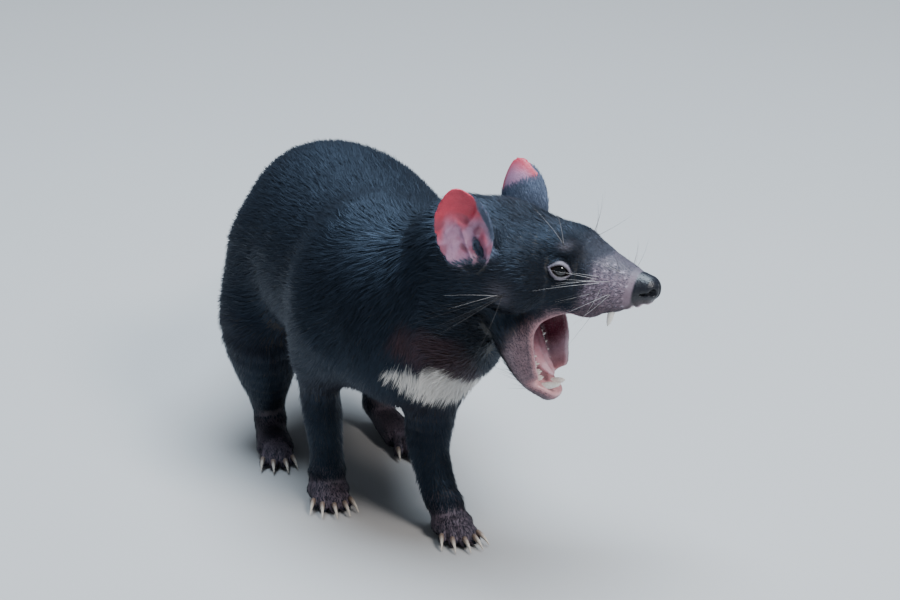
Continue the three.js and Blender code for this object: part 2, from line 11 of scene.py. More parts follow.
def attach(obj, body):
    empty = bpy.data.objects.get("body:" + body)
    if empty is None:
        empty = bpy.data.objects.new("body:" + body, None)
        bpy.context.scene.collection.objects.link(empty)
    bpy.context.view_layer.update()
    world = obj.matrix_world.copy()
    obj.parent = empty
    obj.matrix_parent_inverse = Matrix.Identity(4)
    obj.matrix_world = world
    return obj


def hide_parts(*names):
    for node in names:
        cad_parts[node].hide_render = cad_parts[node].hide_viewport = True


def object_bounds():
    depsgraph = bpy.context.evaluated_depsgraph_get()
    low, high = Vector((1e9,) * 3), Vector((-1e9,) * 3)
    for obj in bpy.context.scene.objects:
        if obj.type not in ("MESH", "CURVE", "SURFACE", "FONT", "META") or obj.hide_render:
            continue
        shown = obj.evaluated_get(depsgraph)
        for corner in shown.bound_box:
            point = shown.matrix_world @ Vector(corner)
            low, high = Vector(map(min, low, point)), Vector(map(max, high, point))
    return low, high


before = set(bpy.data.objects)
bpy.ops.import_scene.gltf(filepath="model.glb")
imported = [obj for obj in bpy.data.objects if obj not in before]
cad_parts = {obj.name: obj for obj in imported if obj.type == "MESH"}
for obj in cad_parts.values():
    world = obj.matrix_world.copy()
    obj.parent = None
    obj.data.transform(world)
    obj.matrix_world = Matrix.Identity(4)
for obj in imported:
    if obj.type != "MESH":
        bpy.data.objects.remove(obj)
cad_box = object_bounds()

# The body is laid out from the floor between the fore feet. SHIFT moves it to the model's origin.
SHIFT = np.array([-34.537, -160.062, 0.0])
MM = 0.001
RNG = np.random.default_rng(24)
FAR = 60.0  # distance given to points well away from a shape

HEAD_AT = (60, -62, 228)
HEAD_YAW = 44
HEAD_PITCH = -6.5
HEAD_ROLL = -4
GAPE = 60.6
HINGE = np.array([12.0, 0.0, -22.0])
EYE_AT = np.array([61.0, 23.8, 4.6])
EYE_RADIUS = 6.8
LID_HALF, LID_UPPER, LID_LOWER = 6.7, 4.1, 3.4
UP = (0, 0, 1)
BACKWARD = (0, 1, 0)
SIDES = {"left": 1, "right": -1}


def unit(v):
    v = np.asarray(v, float)
    return v / np.maximum(np.linalg.norm(v, axis=-1, keepdims=True), 1e-9)


def smooth(x, low, high):
    t = np.clip((x - low) / (high - low), 0, 1)
    return t * t * (3 - 2 * t)


def bump(x, middle, half):
    return np.exp(-(((x - middle) / half) ** 2))


class Place:
    """A frame: its origin and its axes as the columns of a matrix."""

    def __init__(self, at, axes):
        self.at = np.asarray(at, float)
        self.axes = np.asarray(axes, float)

    def local(self, p):
        return (p - self.at) @ self.axes

    def world(self, p):
        return np.asarray(p, float) @ self.axes.T + self.at

    def turn(self, v):
        return np.asarray(v, float) @ self.axes.T

    def inner(self, other):
        return Place(self.world(other.at), self.axes @ other.axes)


def facing(at, ahead, up=UP, roll=0.0):
    x = unit(ahead)
    y = unit(np.cross(up, x))
    z = np.cross(x, y)
    c, s = math.cos(math.radians(roll)), math.sin(math.radians(roll))
    turn = np.array([[1, 0, 0], [0, c, -s], [0, s, c]])
    return Place(at, np.column_stack([x, y, z]) @ turn)


yaw, pitch, gape = (math.radians(a) for a in (HEAD_YAW, HEAD_PITCH, GAPE))
HEAD = facing(
    HEAD_AT,
    (math.sin(yaw) * math.cos(pitch), -math.cos(yaw) * math.cos(pitch), math.sin(pitch)),
    roll=HEAD_ROLL,
)
JAW = HEAD.inner(facing(HINGE, (math.cos(gape), 0, -math.sin(gape))))


# Shapes are signed distances in millimetres, negative inside.
def blend(a, b, soft):
    near = np.maximum(soft - np.abs(a - b), 0) / soft
    return np.minimum(a, b) - near * near * soft / 4


def tighter(a, b, soft):
    return -blend(-a, -b, soft)


def oval(u, v, w, a, b, c):
    near = np.sqrt((u / a) ** 2 + (v / b) ** 2 + (w / c) ** 2)
    slope = np.sqrt((u / (a * a)) ** 2 + (v / (b * b)) ** 2 + (w / (c * c)) ** 2)
    depth = -np.minimum(np.minimum(a, b), c)
    return np.where(near < 1e-5, depth, near * (near - 1) / np.maximum(slope, 1e-9))


def near_only(low, high, margin):
    """A shape's values are worked out only inside its box grown by a margin."""
    low, high = np.asarray(low) - margin, np.asarray(high) + margin

    def wrap(shape):
        def value(p):
            inside = np.all((p > low) & (p < high), axis=1)
            out = np.full(len(p), FAR, np.float32)
            if inside.any():
                out[inside] = shape(p[inside])
            return out
        return value
    return wrap


def curve(points, count):
    """A smooth line through points, cut into a number of lengths for each gap."""
    p = np.asarray(points, float)
    p = np.vstack([2 * p[0] - p[1], p, 2 * p[-1] - p[-2]])
    out = []
    for i in range(1, len(p) - 2):
        a, b, c, d = p[i - 1], p[i], p[i + 1], p[i + 2]
        for t in np.arange(count) / count:
            m0, m1 = (c - a) / 2, (d - b) / 2
            cubic = 2 * b - 2 * c + m0 + m1
            square = 3 * c - 3 * b - 2 * m0 - m1
            out.append(cubic * t ** 3 + square * t * t + m0 * t + b)
    return np.array(out + [p[-2]])


def lump(at, radii, margin=45):
    at, radii = np.asarray(at, float), np.asarray(radii, float)

    @near_only(at - radii, at + radii, margin)
    def value(p):
        q = p - at
        return oval(q[:, 0], q[:, 1], q[:, 2], *radii)
    return value


def lumps(at, radii):
    return [lump((at[0], at[1] * side, at[2]), radii) for side in SIDES.values()]


def sweep(stations, up=UP, cuts=4, margin=45):
    """A rounded length of body through stations (x, y, z, half width, half height)."""
    rows = [s if len(s) == 5 else (*s, s[3]) for s in stations]
    line = curve([r[:3] for r in rows], cuts)
    size = curve([r[3:] for r in rows], cuts)
    reach = size.max()
    lengths = []
    for a, b, r0, r1 in zip(line, line[1:], size, size[1:]):
        far = np.linalg.norm(b - a)
        ahead = (b - a) / far
        side = unit(np.cross(ahead, up))
        turn = np.column_stack([side, np.cross(side, ahead), ahead]).astype(np.float32)
        ball = far / 2 + max(*r0, *r1)
        lengths.append((a.astype(np.float32), turn, np.float32(far), r0, r1, (b + a) / 2, ball))

    @near_only(line.min(0) - reach, line.max(0) + reach, margin)
    def value(p):
        p = p.astype(np.float32)
        least = np.full(len(p), np.float32(FAR))
        for a, turn, far, r0, r1, middle, ball in lengths:
            gap = p - middle.astype(np.float32)
            close = np.einsum("ij,ij->i", gap, gap) < (ball + min(margin, 30)) ** 2
            if not close.any():
                continue
            q = (p[close] - a) @ turn
            t = np.clip(q[:, 2] / far, 0, 1)
            wide, high = r0[0] + (r1[0] - r0[0]) * t, r0[1] + (r1[1] - r0[1]) * t
            value = oval(q[:, 0], q[:, 1], q[:, 2] - t * far, wide, high, np.minimum(wide, high))
            least[close] = np.minimum(least[close], value)
        return least
    return value


def together(shapes, soft):
    def value(p):
        total = shapes[0](p)
        for shape in shapes[1:]:
            total = blend(total, shape(p), soft)
        return total
    return value


def graph(*points):
    x0 = np.array([p[0] for p in points], float)
    y0 = np.array([p[1] for p in points], float)

    def value(x):
        i = np.clip(np.searchsorted(x0, x, side="right") - 1, 0, len(x0) - 2)
        t = smooth(x, x0[i], x0[i + 1])
        return y0[i] + (y0[i + 1] - y0[i]) * t
    return value


def line_distance(p, line, halves):
    """Distance to a line divided by its half width there, less than 1 inside."""
    least = np.full(len(p), 1e3)
    for a, b, w0, w1 in zip(line, line[1:], halves, halves[1:]):
        t = np.clip((p - a) @ (b - a) / ((b - a) @ (b - a)), 0, 1)
        gap = np.linalg.norm(p - a - t[:, None] * (b - a), axis=1)
        least = np.minimum(least, gap / (w0 + (w1 - w0) * t))
    return least


# The masses of the body, as the solids have them.
trunk = sweep([
    (16, 262, 157, 30, 33), (16, 232, 158, 61, 62), (15, 190, 159, 78, 73), (14, 140, 159, 81, 75),
    (12, 90, 161, 76, 75), (8, 40, 163, 67, 74), (5, 2, 165, 56, 67),
])
breast = lump((25, -16, 141), (50, 37, 43))
neck = sweep([(2, 24, 172, 56, 64), (20, -16, 182, 54, 60), (40, -42, 206, 50, 48), (60, -62, 222, 46, 38)])
TAIL_LINE = [
    (12, 236, 166, 30), (16, 274, 158, 23), (30, 330, 138, 19), (47, 395, 112, 15.5),
    (62, 450, 92, 10.5), (70, 486, 82, 4),
]
tail = sweep(TAIL_LINE)
FORE_LEGS = {
    "right": [
        (-28, 28, 158, 36, 46), (-36, 52, 122, 27, 33), (-36, 62, 95, 19, 23),
        (-33, 62, 60, 15.5, 16.5), (-30, 64, 26, 13, 13),
    ],
    "left": [
        (34, 8, 152, 36, 44), (34, 4, 118, 29, 34), (30, 0, 92, 23, 25),
        (27, -5, 60, 17, 17.5), (33, -16, 25, 13.5, 13),
    ],
}
HIND_LEGS = {
    "right": [
        (-34, 196, 150, 35, 54), (-51, 178, 105, 31, 49), (-48, 180, 70, 25, 36),
        (-43, 190, 40, 16, 20), (-41, 187, 22, 11.5, 12.5),
    ],
    "left": [
        (54, 196, 150, 38, 56), (58, 174, 105, 31, 49), (52, 181, 70, 25, 36),
        (47, 193, 40, 16, 20), (46, 192, 22, 11.5, 12.5),
    ],
}
limbs = together([sweep(leg, BACKWARD) for legs in (FORE_LEGS, HIND_LEGS) for leg in legs.values()], 6)

FEET = {
    "fore_foot_right": ((-31, 62), (-0.1, -0.995), False),
    "fore_foot_left": ((36, -27), (0.06, -0.998), False),
    "hind_foot_right": ((-46, 157), (-0.14, -0.99), True),
    "hind_foot_left": ((50, 150), (0.12, -0.993), True),
}
FEET = {name: (facing((*at, 0), (*heading, 0)), hind) for name, (at, heading, hind) in FEET.items()}
FORE_TOES = list(zip((-33, -16, 0, 15, 30), (22, 27, 29, 28, 24)))
HIND_TOES = list(zip((-24, -8, 8, 23), (26, 30, 30, 25)))
TOE_THICK = 5.6


def toe_at(fan, reach, height):
    return (math.cos(math.radians(fan)) * reach, math.sin(math.radians(fan)) * reach, height)


def foot_shape(hind):
    toes = [sweep([(*toe_at(fan, 9, 10), TOE_THICK), (*toe_at(fan, (9 + reach) / 2, 10), TOE_THICK - 0.3),
                   (*toe_at(fan, reach, 4.2), TOE_THICK - 1)], cuts=3, margin=16)
            for fan, reach in (HIND_TOES if hind else FORE_TOES)]
    if hind:
        pad = sweep([(-44, 0, 17, 10, 9.5), (-22, 0, 12, 12.5, 10), (4, 0, 8.5, 15, 10)], margin=20)
    else:
        pad = together([lump((4, 0, 9.5), (15, 16.5, 11), 20), lump((-4, 0, 18), (11, 12, 12), 20)], 6)
    return together([pad, *toes], 2)


def in_place(place, shape, low, high):
    corners = place.world(np.array([[x, y, z] for x in (low[0], high[0]) for y in (low[1], high[1])
                                    for z in (low[2], high[2])]))

    @near_only(corners.min(0), corners.max(0), 0)
    def value(p):
        return shape(place.local(p))
    return value


footed = together([in_place(place, foot_shape(hind), (-80, -50, -20), (60, 50, 60))
                   for place, hind in FEET.values()], 2)
body = together([trunk, breast, neck], 26)

# The skull, muzzle and lower jaw.
skull = together([
    sweep([
        (-26, 0, -1, 42, 33), (0, 0, -2, 44, 34), (25, 0, -3, 45, 35), (50, 0, -2, 31, 33),
        (66, 0, -1, 22.5, 30.5), (80, 0, -1.5, 21, 23.5), (98, 0, -1.5, 17, 17.5),
        (110, 0, -1, 12, 13.5), (117.5, 0, 1.5, 9.5, 9.5),
    ]),
    *lumps((27, 30, -11), (26, 17, 25)),
    *lumps((57, 16, 17), (15, 9, 9)),
    *lumps((91, 10, -8), (18, 10, 12)),
    *lumps((74, 18, -17), (20, 5.5, 10.5)),
], 8)
jaw_bone = sweep([(0, 0, -2, 35, 18), (30, 0, -4, 30, 15), (54, 0, -4, 23, 13.5), (70, 0, -1.5, 17, 11.5),
                  (81, 0, 4.5, 12, 10)])

PALATE = graph((20, -42), (48, -31), (70, -21), (98, -13), (116, -10))
JAW_FLOOR = graph((0, 8), (30, 2), (60, 0.5), (73, 2), (87, 12))
MOUTH_HALF = graph((24, 12), (46, 17), (62, 17.5), (78, 13.5), (90, 9), (104, 5))
THROAT = 27
CHEEK = 6.5
LEFT_STRETCH = 12
CHEEK_BACK, CHEEK_END = 43, 72

EARS = {
    "right": ((7, -48, -8), (-0.27, -0.15, 0.95), (0.35, -0.93, -0.1)),
    "left": ((5, 47, -10), (-0.39, 0.26, 0.88), (0.2, 0.97, -0.1)),
}
EARS = {side: HEAD.inner(facing(foot, opening, up)) for side, (foot, up, opening) in EARS.items()}
EAR_TALL, EAR_WIDE, EAR_DEEP = 64.0, 41.0, 9.0
ear_roots = together([in_place(place, lump((-20, 0, 13), (10, 14, 22)), (-75, -60, -55), (35, 60, 80))
                      for place in EARS.values()], 2)


def mouth_angle(h):
    return np.degrees(np.arctan2(HINGE[2] - h[:, 2], h[:, 0] - HINGE[0]))


def cheek_edge(h):
    down = np.clip(mouth_angle(h), 0, GAPE) - 28
    further = np.where(down < 0, 9 * (down / 19) ** 2, 7 * (down / 16) ** 3)
    stretch = LEFT_STRETCH * smooth(h[:, 1], -5, 5) * smooth(down, -6, 14)
    return np.minimum(CHEEK_BACK + further + stretch, CHEEK_END)


def head_shape(h):
    j = HEAD_TO_JAW.local(h)
    from_hinge = np.hypot(h[:, 0] - HINGE[0], h[:, 2] - HINGE[2])
    gap = np.maximum(h[:, 2] - PALATE(h[:, 0]) - CHEEK, JAW_FLOOR(j[:, 0]) - CHEEK - j[:, 2])
    wall = tighter(np.abs(h[:, 1]) - MOUTH_HALF(from_hinge) - CHEEK, from_hinge - cheek_edge(h), 5)
    return blend(blend(skull(h), jaw_bone(j), 7), tighter(gap, wall, 5), 6)


def mouth_space(h):
    j = HEAD_TO_JAW.local(h)
    from_hinge = np.hypot(h[:, 0] - HINGE[0], h[:, 2] - HINGE[2])
    gap = tighter(h[:, 2] - PALATE(h[:, 0]), JAW_FLOOR(j[:, 0]) - j[:, 2], 4)
    hollow = tighter(np.abs(h[:, 1]) - MOUTH_HALF(from_hinge), THROAT - from_hinge, 5)
    return tighter(gap, hollow, 5)


HEAD_TO_JAW = facing(HINGE, (math.cos(gape), 0, -math.sin(gape)))
HEAD_LOW, HEAD_HIGH = (-75, -85, -120), (135, 85, 75)
head_placed = in_place(HEAD, head_shape, HEAD_LOW, HEAD_HIGH)


def coat_line(p):
    """The outline out to the tips of the coat, without the mouth."""
    bulk = blend(blend(body(p), tail(p), 18), limbs(p), 20)
    head = blend(head_placed(p), ear_roots(p), 9)
    return blend(blend(bulk, head, 14), footed(p), 9)


# Depth of the coat over the skin.
def headness(p):
    """1 on the head, 0 from the neck back."""
    h = HEAD.local(p)
    near = smooth(h[:, 0], -42, 2) * smooth(p[:, 2], 100, 135)
    return near * smooth(-h[:, 2] - h[:, 0] * 0.2, 125, 95)


def legness(p):
    """0 on the body, rising to 1 on the lower legs."""
    return smooth(p[:, 2], 118, 62) * (1 - smooth(p[:, 1], 236, 262))


def coat_depth(p):
    h = HEAD.local(p)
    depth = 6.5 - 3.6 * legness(p) - 1.6 * smooth(p[:, 2], 45, 22) * legness(p)
    tail_end = smooth(p[:, 1], 400, 470)
    depth = depth - 3.3 * tail_end
    face = 3.2 - 1.4 * smooth(h[:, 0], 20, 55) - 1.1 * smooth(h[:, 0], 68, 92)
    bare = smooth(HEAD_TO_JAW.local(h)[:, 0], 20, 44) * smooth(h[:, 2], -24, -34)
    face = face - (face - 0.6) * bare
    return depth + (face - depth) * headness(p)


def lid_edges(along):
    """Heights of the upper and lower lids' edges over the eye."""
    rise = 1 - (along / LID_HALF) ** 2
    return LID_UPPER * rise, -LID_LOWER * rise


def eye_parts(h, side):
    """Distances for one eye: its ball, and the lids with their opening."""
    out = unit((0.42, 0.9 * side, 0.12))
    along = unit(np.cross(out, (0, 0, 1)) * side + np.array((0, 0, -0.16)))
    rise = unit(np.cross(along, out) * side)
    rise = rise if rise[2] > 0 else -rise
    q = h - EYE_AT * (1, side, 1)
    return np.linalg.norm(q, axis=1), q @ out, q @ along, q @ rise


def face_detail(h, d):
    """Sockets and lids, added to the face's distance."""
    for side in SIDES.values():
        far, out, along, rise = eye_parts(h, side)
        near = far < 26
        if not near.any():
            continue
        f, o, a, r = far[near], out[near], along[near], rise[near]
        here = d[near]
        socket = bump(np.hypot(a / 1.25, r - 1), 0, 13) * 1.6
        here = here + socket * (o > -4)
        lid = f - (EYE_RADIUS + 1.5)
        here = blend(here, np.maximum(lid, -o - 2), 3.0)
        upper, lower = lid_edges(a)
        slit = np.maximum(r - upper, lower - r)
        slit = np.maximum(slit, -o + 0.5)
        here = tighter(here, -slit, 0.9)
        ridge = 0.7 * bump(slit, 1.6, 1.0) - 0.55 * bump(slit, 4.4, 1.1)
        here = here - ridge * (o > 0)
        d = d.copy()
        d[near] = here
    return d


def nose_detail(h, d):
    near = (h[:, 0] > 96) & (np.abs(h[:, 1]) < 20) & (np.abs(h[:, 2]) < 24)
    if not near.any():
        return d
    q = h[near]
    here = d[near]
    side = np.abs(q[:, 1])
    # The pad stands a little proud of the hair. A groove parts the nostrils, each with a slit beside it.
    here = here - 0.7 * smooth(q[:, 0], 111, 114)
    here = here + 1.0 * bump(q[:, 1], 0, 0.9) * smooth(q[:, 0], 116, 121) * smooth(q[:, 2], 8, 3)
    hole = oval(q[:, 0] - 124, side - 5.2, q[:, 2] - 1.2, 5.5, 2.3, 2.6)
    slit = oval(q[:, 0] - 120.5, side - 8.6, q[:, 2] + 0.6 + (q[:, 0] - 120.5) * -0.25, 5.5, 2.0, 1.0)
    here = tighter(here, -blend(hole, slit, 1.2), 1.0)
    out = d.copy()
    out[near] = here
    return out


def mouth_detail(h, d):
    """Palate ridges and the rolls of the lower gums."""
    near = (h[:, 0] > 10) & (h[:, 2] < 6) & (np.abs(h[:, 1]) < 34) & (h[:, 2] > -115)
    if not near.any():
        return d
    q = h[near]
    j = HEAD_TO_JAW.local(q)
    here = d[near]
    roof = bump(q[:, 2], PALATE(q[:, 0]), 5) * smooth(np.abs(q[:, 1]), 13, 8)
    here = here - 0.5 * roof * np.sin(q[:, 0] * 1.05)
    bed = bump(j[:, 2], JAW_FLOOR(j[:, 0]), 4) * smooth(j[:, 0], 30, 40) * smooth(j[:, 0], 84, 78)
    row = np.interp(j[:, 0], (30, 46, 62, 78, 84), (15.5, 16, 12, 8.2, 5.5))
    here = here - 1.8 * bed * bump(np.abs(j[:, 1]), row, 2.6)
    out = d.copy()
    out[near] = here
    return out


def flesh(p, ear_swell=0.0):
    """The skin itself."""
    coat = coat_line(p) + coat_depth(p)
    h = HEAD.local(p)
    near = np.all((h > np.array(HEAD_LOW) + 5) & (h < np.array(HEAD_HIGH)), axis=1) & (h[:, 0] > 5)
    if near.any():
        d = coat[near]
        q = h[near]
        ripple = 0.35 * np.sin(q[:, 0] * 0.9 + q[:, 2] * 0.35)
        folds = ripple * bump(q[:, 0], 88, 20) * smooth(q[:, 2], -24, -10)
        web = smooth(np.hypot(q[:, 0] - HINGE[0], q[:, 2] - HINGE[2]), 22, 34) * smooth(q[:, 2], -26, -34)
        crease = np.sin(mouth_angle(q) * 0.42 + 1.5 * wobble(q, 9)) * smooth(wobble(q, 12, 3), -0.2, 0.5)
        d = d - 0.22 * folds - 0.16 * web * crease
        d = face_detail(q, d)
        d = nose_detail(q, d)
        d = tighter(d, -mouth_space(q), 2.2)
        d = mouth_detail(q, d)
        coat = coat.copy()
        coat[near] = d
    for name, place in EARS.items():
        e = place.local(p)
        close = np.all((e > (-30, -40, -8)) & (e < (30, 40, 80)), axis=1)
        if close.any():
            coat = coat.copy()
            coat[close] = blend(coat[close], ear_leaf(e[close], SIDES[name], ear_swell), 3.5)
    floor = 0.15 - p[:, 2]
    return tighter(coat, floor, 1.2)


EAR_FOLDS = [
    # path over the ear (forward, up), half width, height in millimetres
    (((-0.62, -0.02), (-0.30, 0.16), (0.05, 0.02), (0.38, 0.20), (0.66, 0.46)), 0.085, 1.9),
    (((-0.10, -0.10), (-0.02, -0.42), (0.10, -0.72)), 0.085, 2.0),
    (((-0.50, -0.34), (-0.22, -0.30), (-0.04, -0.36)), 0.07, 1.3),
    (((0.62, -0.30), (0.70, -0.52)), 0.14, 3.0),
    (((0.34, -0.16), (0.52, -0.02)), 0.08, 1.4),
    (((0.28, -0.50), (0.38, -0.62)), 0.17, -4.5),
]


def ear_leaf(e, side, swell=0.0):
    """A thin cupped leaf in the ear's frame: X the way it opens, Y across, Z to the tip."""
    rise = e[:, 2] / (EAR_TALL / 2) - 1
    narrowing = 1 - 0.14 * rise ** 2 - 0.11 * smooth(rise, 0.35, 1.0)
    across = e[:, 1] / (narrowing * EAR_WIDE / 2)
    out = np.hypot(across, rise)
    middle = -EAR_DEEP * (1 - np.minimum(out, 1.25) ** 2)
    # Folds inside the cup: ridges, the knob in front of the ear's canal and the canal itself.
    front = -side * across
    spot = np.stack([front, rise], -1)
    fold = 0
    for path, half, high in EAR_FOLDS:
        fold = fold + high * np.exp(-line_distance(spot, np.array(path, float), [half] * len(path)) ** 2)
    fold = fold * smooth(out, 1.02, 0.86)
    thick = 1.15 + swell + 0.9 * smooth(rise, -0.2, -1.0)
    thick = thick * (0.75 + 0.25 * smooth(out, 1.0, 0.6))
    off = e[:, 0] - middle
    steep = np.sqrt(1 + (2 * EAR_DEEP * np.minimum(out, 1) / (EAR_WIDE / 2)) ** 2)
    sheet = np.where(off > 0, off - fold, -off) / steep - thick
    rim = (out - 1) * EAR_WIDE / 2 * 0.95
    return tighter(sheet, rim, 1.6 + swell)


STEP = 2.0  # size of the first mesh's cells


def band_values(shape, low, high, step, reach):
    """Distances on a grid, worked out exactly only near the surface."""
    coarse = step * 3
    lows = np.asarray(low, float)
    counts = np.ceil((np.asarray(high) - lows) / coarse).astype(int) + 1
    axes = [lows[i] + coarse * np.arange(counts[i]) for i in range(3)]
    grid = np.stack(np.meshgrid(*axes, indexing="ij"), -1).reshape(-1, 3)
    rough = np.concatenate([shape(g) for g in np.array_split(grid, 12)]).reshape(counts)
    fine_counts = (counts - 1) * 3 + 1
    index = [np.clip(np.arange(n) / 3, 0, c - 1) for n, c in zip(fine_counts, counts)]
    guess = rough[np.ix_(*[np.round(i).astype(int) for i in index])]
    near = np.argwhere(np.abs(guess) < reach)
    values = np.where(guess < 0, -reach, reach).astype(np.float32)
    points = lows + near * step
    found = np.concatenate([shape(q) for q in np.array_split(points, 24)])
    values[tuple(near.T)] = found
    return values, lows


def surface_mesh(shape, low, high, step):
    values, origin = band_values(shape, low, high, step, step * 4.5)
    grid = openvdb.FloatGrid(float(step * 4.5))
    grid.copyFromArray(np.clip(values, -step * 4, step * 4))
    points, quads = grid.convertToQuads(0.0)
    return origin + points.astype(float) * step, quads.astype(np.int64)


def slope_of(shape, p, reach=0.25):
    here = shape(p)
    rise = np.stack([shape(p + reach * np.eye(3)[i]) for i in range(3)], -1) - here[:, None]
    return here, rise / reach


def settle(shape, p, step, rounds=2, rise=None):
    """Moves points along the shape's slope onto its surface. Returns them with the slope that was used."""
    for _ in range(rounds):
        if rise is None:
            here, rise = slope_of(shape, p)
            rise = rise / np.maximum((rise ** 2).sum(1), 0.25)[:, None]
        else:
            here = shape(p)
        p = p + rise * np.clip(-here, -step, step)[:, None]
    return p, rise


# Marks on skin and coat, from a point's place on the body.
BLACK = (0.0040, 0.0046, 0.0068)
PAINTS = {
    "cream": (0.80, 0.76, 0.70), "brown": (0.050, 0.017, 0.012), "mauve": (0.27, 0.19, 0.22),
    "rim": (0.26, 0.235, 0.29), "muzzle": (0.22, 0.165, 0.21), "dot": (0.50, 0.43, 0.52),
    # The dark maroon lining colour on this line is painted shade deep in the mouth.
    "lining": (0.62, 0.25, 0.29), "painted_throat_shade": (0.10, 0.02, 0.038), "gum": (0.72, 0.38, 0.40),
    "red": (0.56, 0.045, 0.085), "lilac": (0.42, 0.235, 0.36), "sole": (0.165, 0.125, 0.16),
    "pad": (0.014, 0.016, 0.023), "lip": (0.05, 0.032, 0.042),
}
BAND = np.array([
    (-25, -47, 140), (-10, -56, 137), (6, -58, 131), (22, -54, 121), (38, -47, 114),
    (54, -38, 114), (70, -22, 124),
], float)
BAND_HALF = (3.5, 9, 13, 15.5, 15, 12, 5)
DOTS = [(80 + 3.6 * i + 1.8 * (k % 2) + RNG.normal(0, 0.55), 13 - 3.9 * k + 0.4 * i + RNG.normal(0, 0.55),
         RNG.uniform(0.35, 0.85)) for k in range(8) for i in range(8)]


def eye_distance(h):
    return np.minimum(*[np.linalg.norm(h - EYE_AT * (1, side, 1), axis=1) for side in SIDES.values()])


def slit_distance(h):
    """Distance in front of the lids' opening, as the lids have it, for the nearer eye."""
    best = np.full(len(h), FAR)
    for side in SIDES.values():
        far, out, along, rise = eye_parts(h, side)
        upper, lower = lid_edges(along)
        slit = np.maximum(rise - upper, lower - rise)
        best = np.where((far < 16) & (out > 0), np.minimum(best, slit), best)
    return best


def dots(h):
    total = np.zeros(len(h))
    for x, z, size in DOTS:
        near = np.exp(-((h[:, 0] - x) ** 2 + (h[:, 2] - z) ** 2) / size)
        total = np.maximum(total, near * (0.5 + size / 2))
    return total * smooth(np.abs(h[:, 1]), 6, 10)


def ear_marks(p):
    """For each point: how much it belongs to an ear, how bare it is, and its place up and across the ear."""
    leaf, bare, rise, front, inner = (np.zeros(len(p)) for _ in range(5))
    for name, place in EARS.items():
        e = place.local(p)
        up = e[:, 2] / (EAR_TALL / 2) - 1
        across = e[:, 1] / (EAR_WIDE / 2)
        middle = -EAR_DEEP * (1 - np.minimum(across ** 2 + up ** 2, 1.3))
        off = e[:, 0] - middle
        here = (np.abs(off) < 6) & (np.abs(across) < 1.1) & (e[:, 2] > -2) & (e[:, 2] < EAR_TALL + 4)
        inside = here & (off > 0)
        ahead = -SIDES[name] * across
        edge = smooth(ahead + 0.30 * up + 0.07 * wobble(p, 5), 0.86, 0.70)
        naked = np.where(inside, smooth(up, -1.0, -0.72) * edge, smooth(up + 0.10 * across, 0.30, 0.46))
        leaf = np.where(here, smooth(e[:, 2], 4, 12), leaf)
        bare = np.where(here, naked, bare)
        rise = np.where(here, up, rise)
        front = np.where(here, ahead, front)
        inner = np.where(here, inside, inner)
    return leaf, bare * leaf, rise, front, inner


def wobble(p, size, seed=0.0):
    """A soft uneven value, -1 to 1, with features of about that size."""
    q = p / size
    a = np.sin(q[:, 0] * 1.7 + 2.1 * np.sin(q[:, 1] * 1.1 + seed) + seed)
    b = np.sin(q[:, 1] * 1.9 + 1.7 * np.sin(q[:, 2] * 1.3 + seed * 2) + 1.3)
    c = np.sin(q[:, 2] * 1.5 + 1.9 * np.sin(q[:, 0] * 1.2 + seed * 3) + 2.6)
    return (a + b + c) / 3


def cream_band(p):
    uneven = line_distance(p, BAND, BAND_HALF) + 0.22 * wobble(p, 4.0) + 0.1 * wobble(p, 1.6, 2)
    return smooth(uneven, 1.12, 0.86)


def over(base, paint, amount):
    return base + (np.asarray(PAINTS.get(paint, paint), float) - base) * amount[:, None]


def coat_colour(p):
    """The fur's colour at its root."""
    h = HEAD.local(p)
    colour = np.tile(np.array(BLACK), (len(p), 1))
    throat = line_distance(p, np.array([(-2, -58, 168), (20, -72, 152), (44, -54, 126)], float), (15, 16, 14))
    colour = over(colour, "brown", 0.85 * smooth(throat + 0.25 * wobble(p, 7), 1.15, 0.35))
    low = smooth(p[:, 2], 130, 88) * (1 - legness(p))
    colour = over(colour, "brown", 0.20 * low)
    brow = np.hypot((h[:, 0] - 63.5) * 0.75, h[:, 2] - 20.8) + 0.8 * wobble(h, 3)
    wart = np.linalg.norm(h * (1, 0, 1) - (32, 0, -18), axis=1)
    # Lighter towards the top of the head: the short head hair's own colour, with painted sky sheen on the top
    # surfaces.
    grey_hair_and_sheen = headness(p) * smooth(h[:, 2], -34, 8)
    dark_brow = 1 - 0.8 * bump(np.hypot(h[:, 0] - 52, h[:, 2] - 14), 0, 22) * (np.abs(h[:, 1]) > 8)
    colour = over(colour, (0.026, 0.026, 0.031), 0.85 * grey_hair_and_sheen * (0.7 + 0.3 * wobble(p, 9, 1)) * dark_brow)
    warty = 0.8 * bump(wart + wobble(h, 4), 0, 8) * (np.abs(h[:, 1]) > 25)
    colour = over(colour, (0.15, 0.135, 0.155), warty)
    bridge = headness(p) * smooth(h[:, 0], 64, 86) * smooth(h[:, 2], 2, 13)
    colour = over(colour, (0.085, 0.085, 0.105), 0.8 * bridge)
    colour = over(colour, (0.23, 0.205, 0.235), 0.75 * bump(brow, 0, 2.5) * (np.abs(h[:, 1]) > 12))
    leaf, *_ = ear_marks(p)
    # The ears' fur is painted light blue: painted sky sheen over dark fur.
    colour = over(colour, (0.20, 0.25, 0.36), leaf * (0.8 + 0.2 * wobble(p, 5)))
    return over(colour, "cream", cream_band(p))


def bare_cheek(h):
    """1 on the thin-haired skin round the mouth and on the muzzle."""
    j = HEAD_TO_JAW.local(h)
    from_hinge = np.hypot(h[:, 0] - HINGE[0], h[:, 2] - HINGE[2])
    edge = np.interp(mouth_angle(h), (-20, 0, 12, 30, 60, 75, 95), (60, 46, 38, 32, 36, 46, 58))
    web = smooth(from_hinge - edge + 1.5 * wobble(h, 5), -5, 9) * smooth(h[:, 2], -17, -27) * (h[:, 0] > 8)
    under = smooth(j[:, 2], -15, -7)
    return web * np.maximum(under, smooth(j[:, 0], 78, 86))


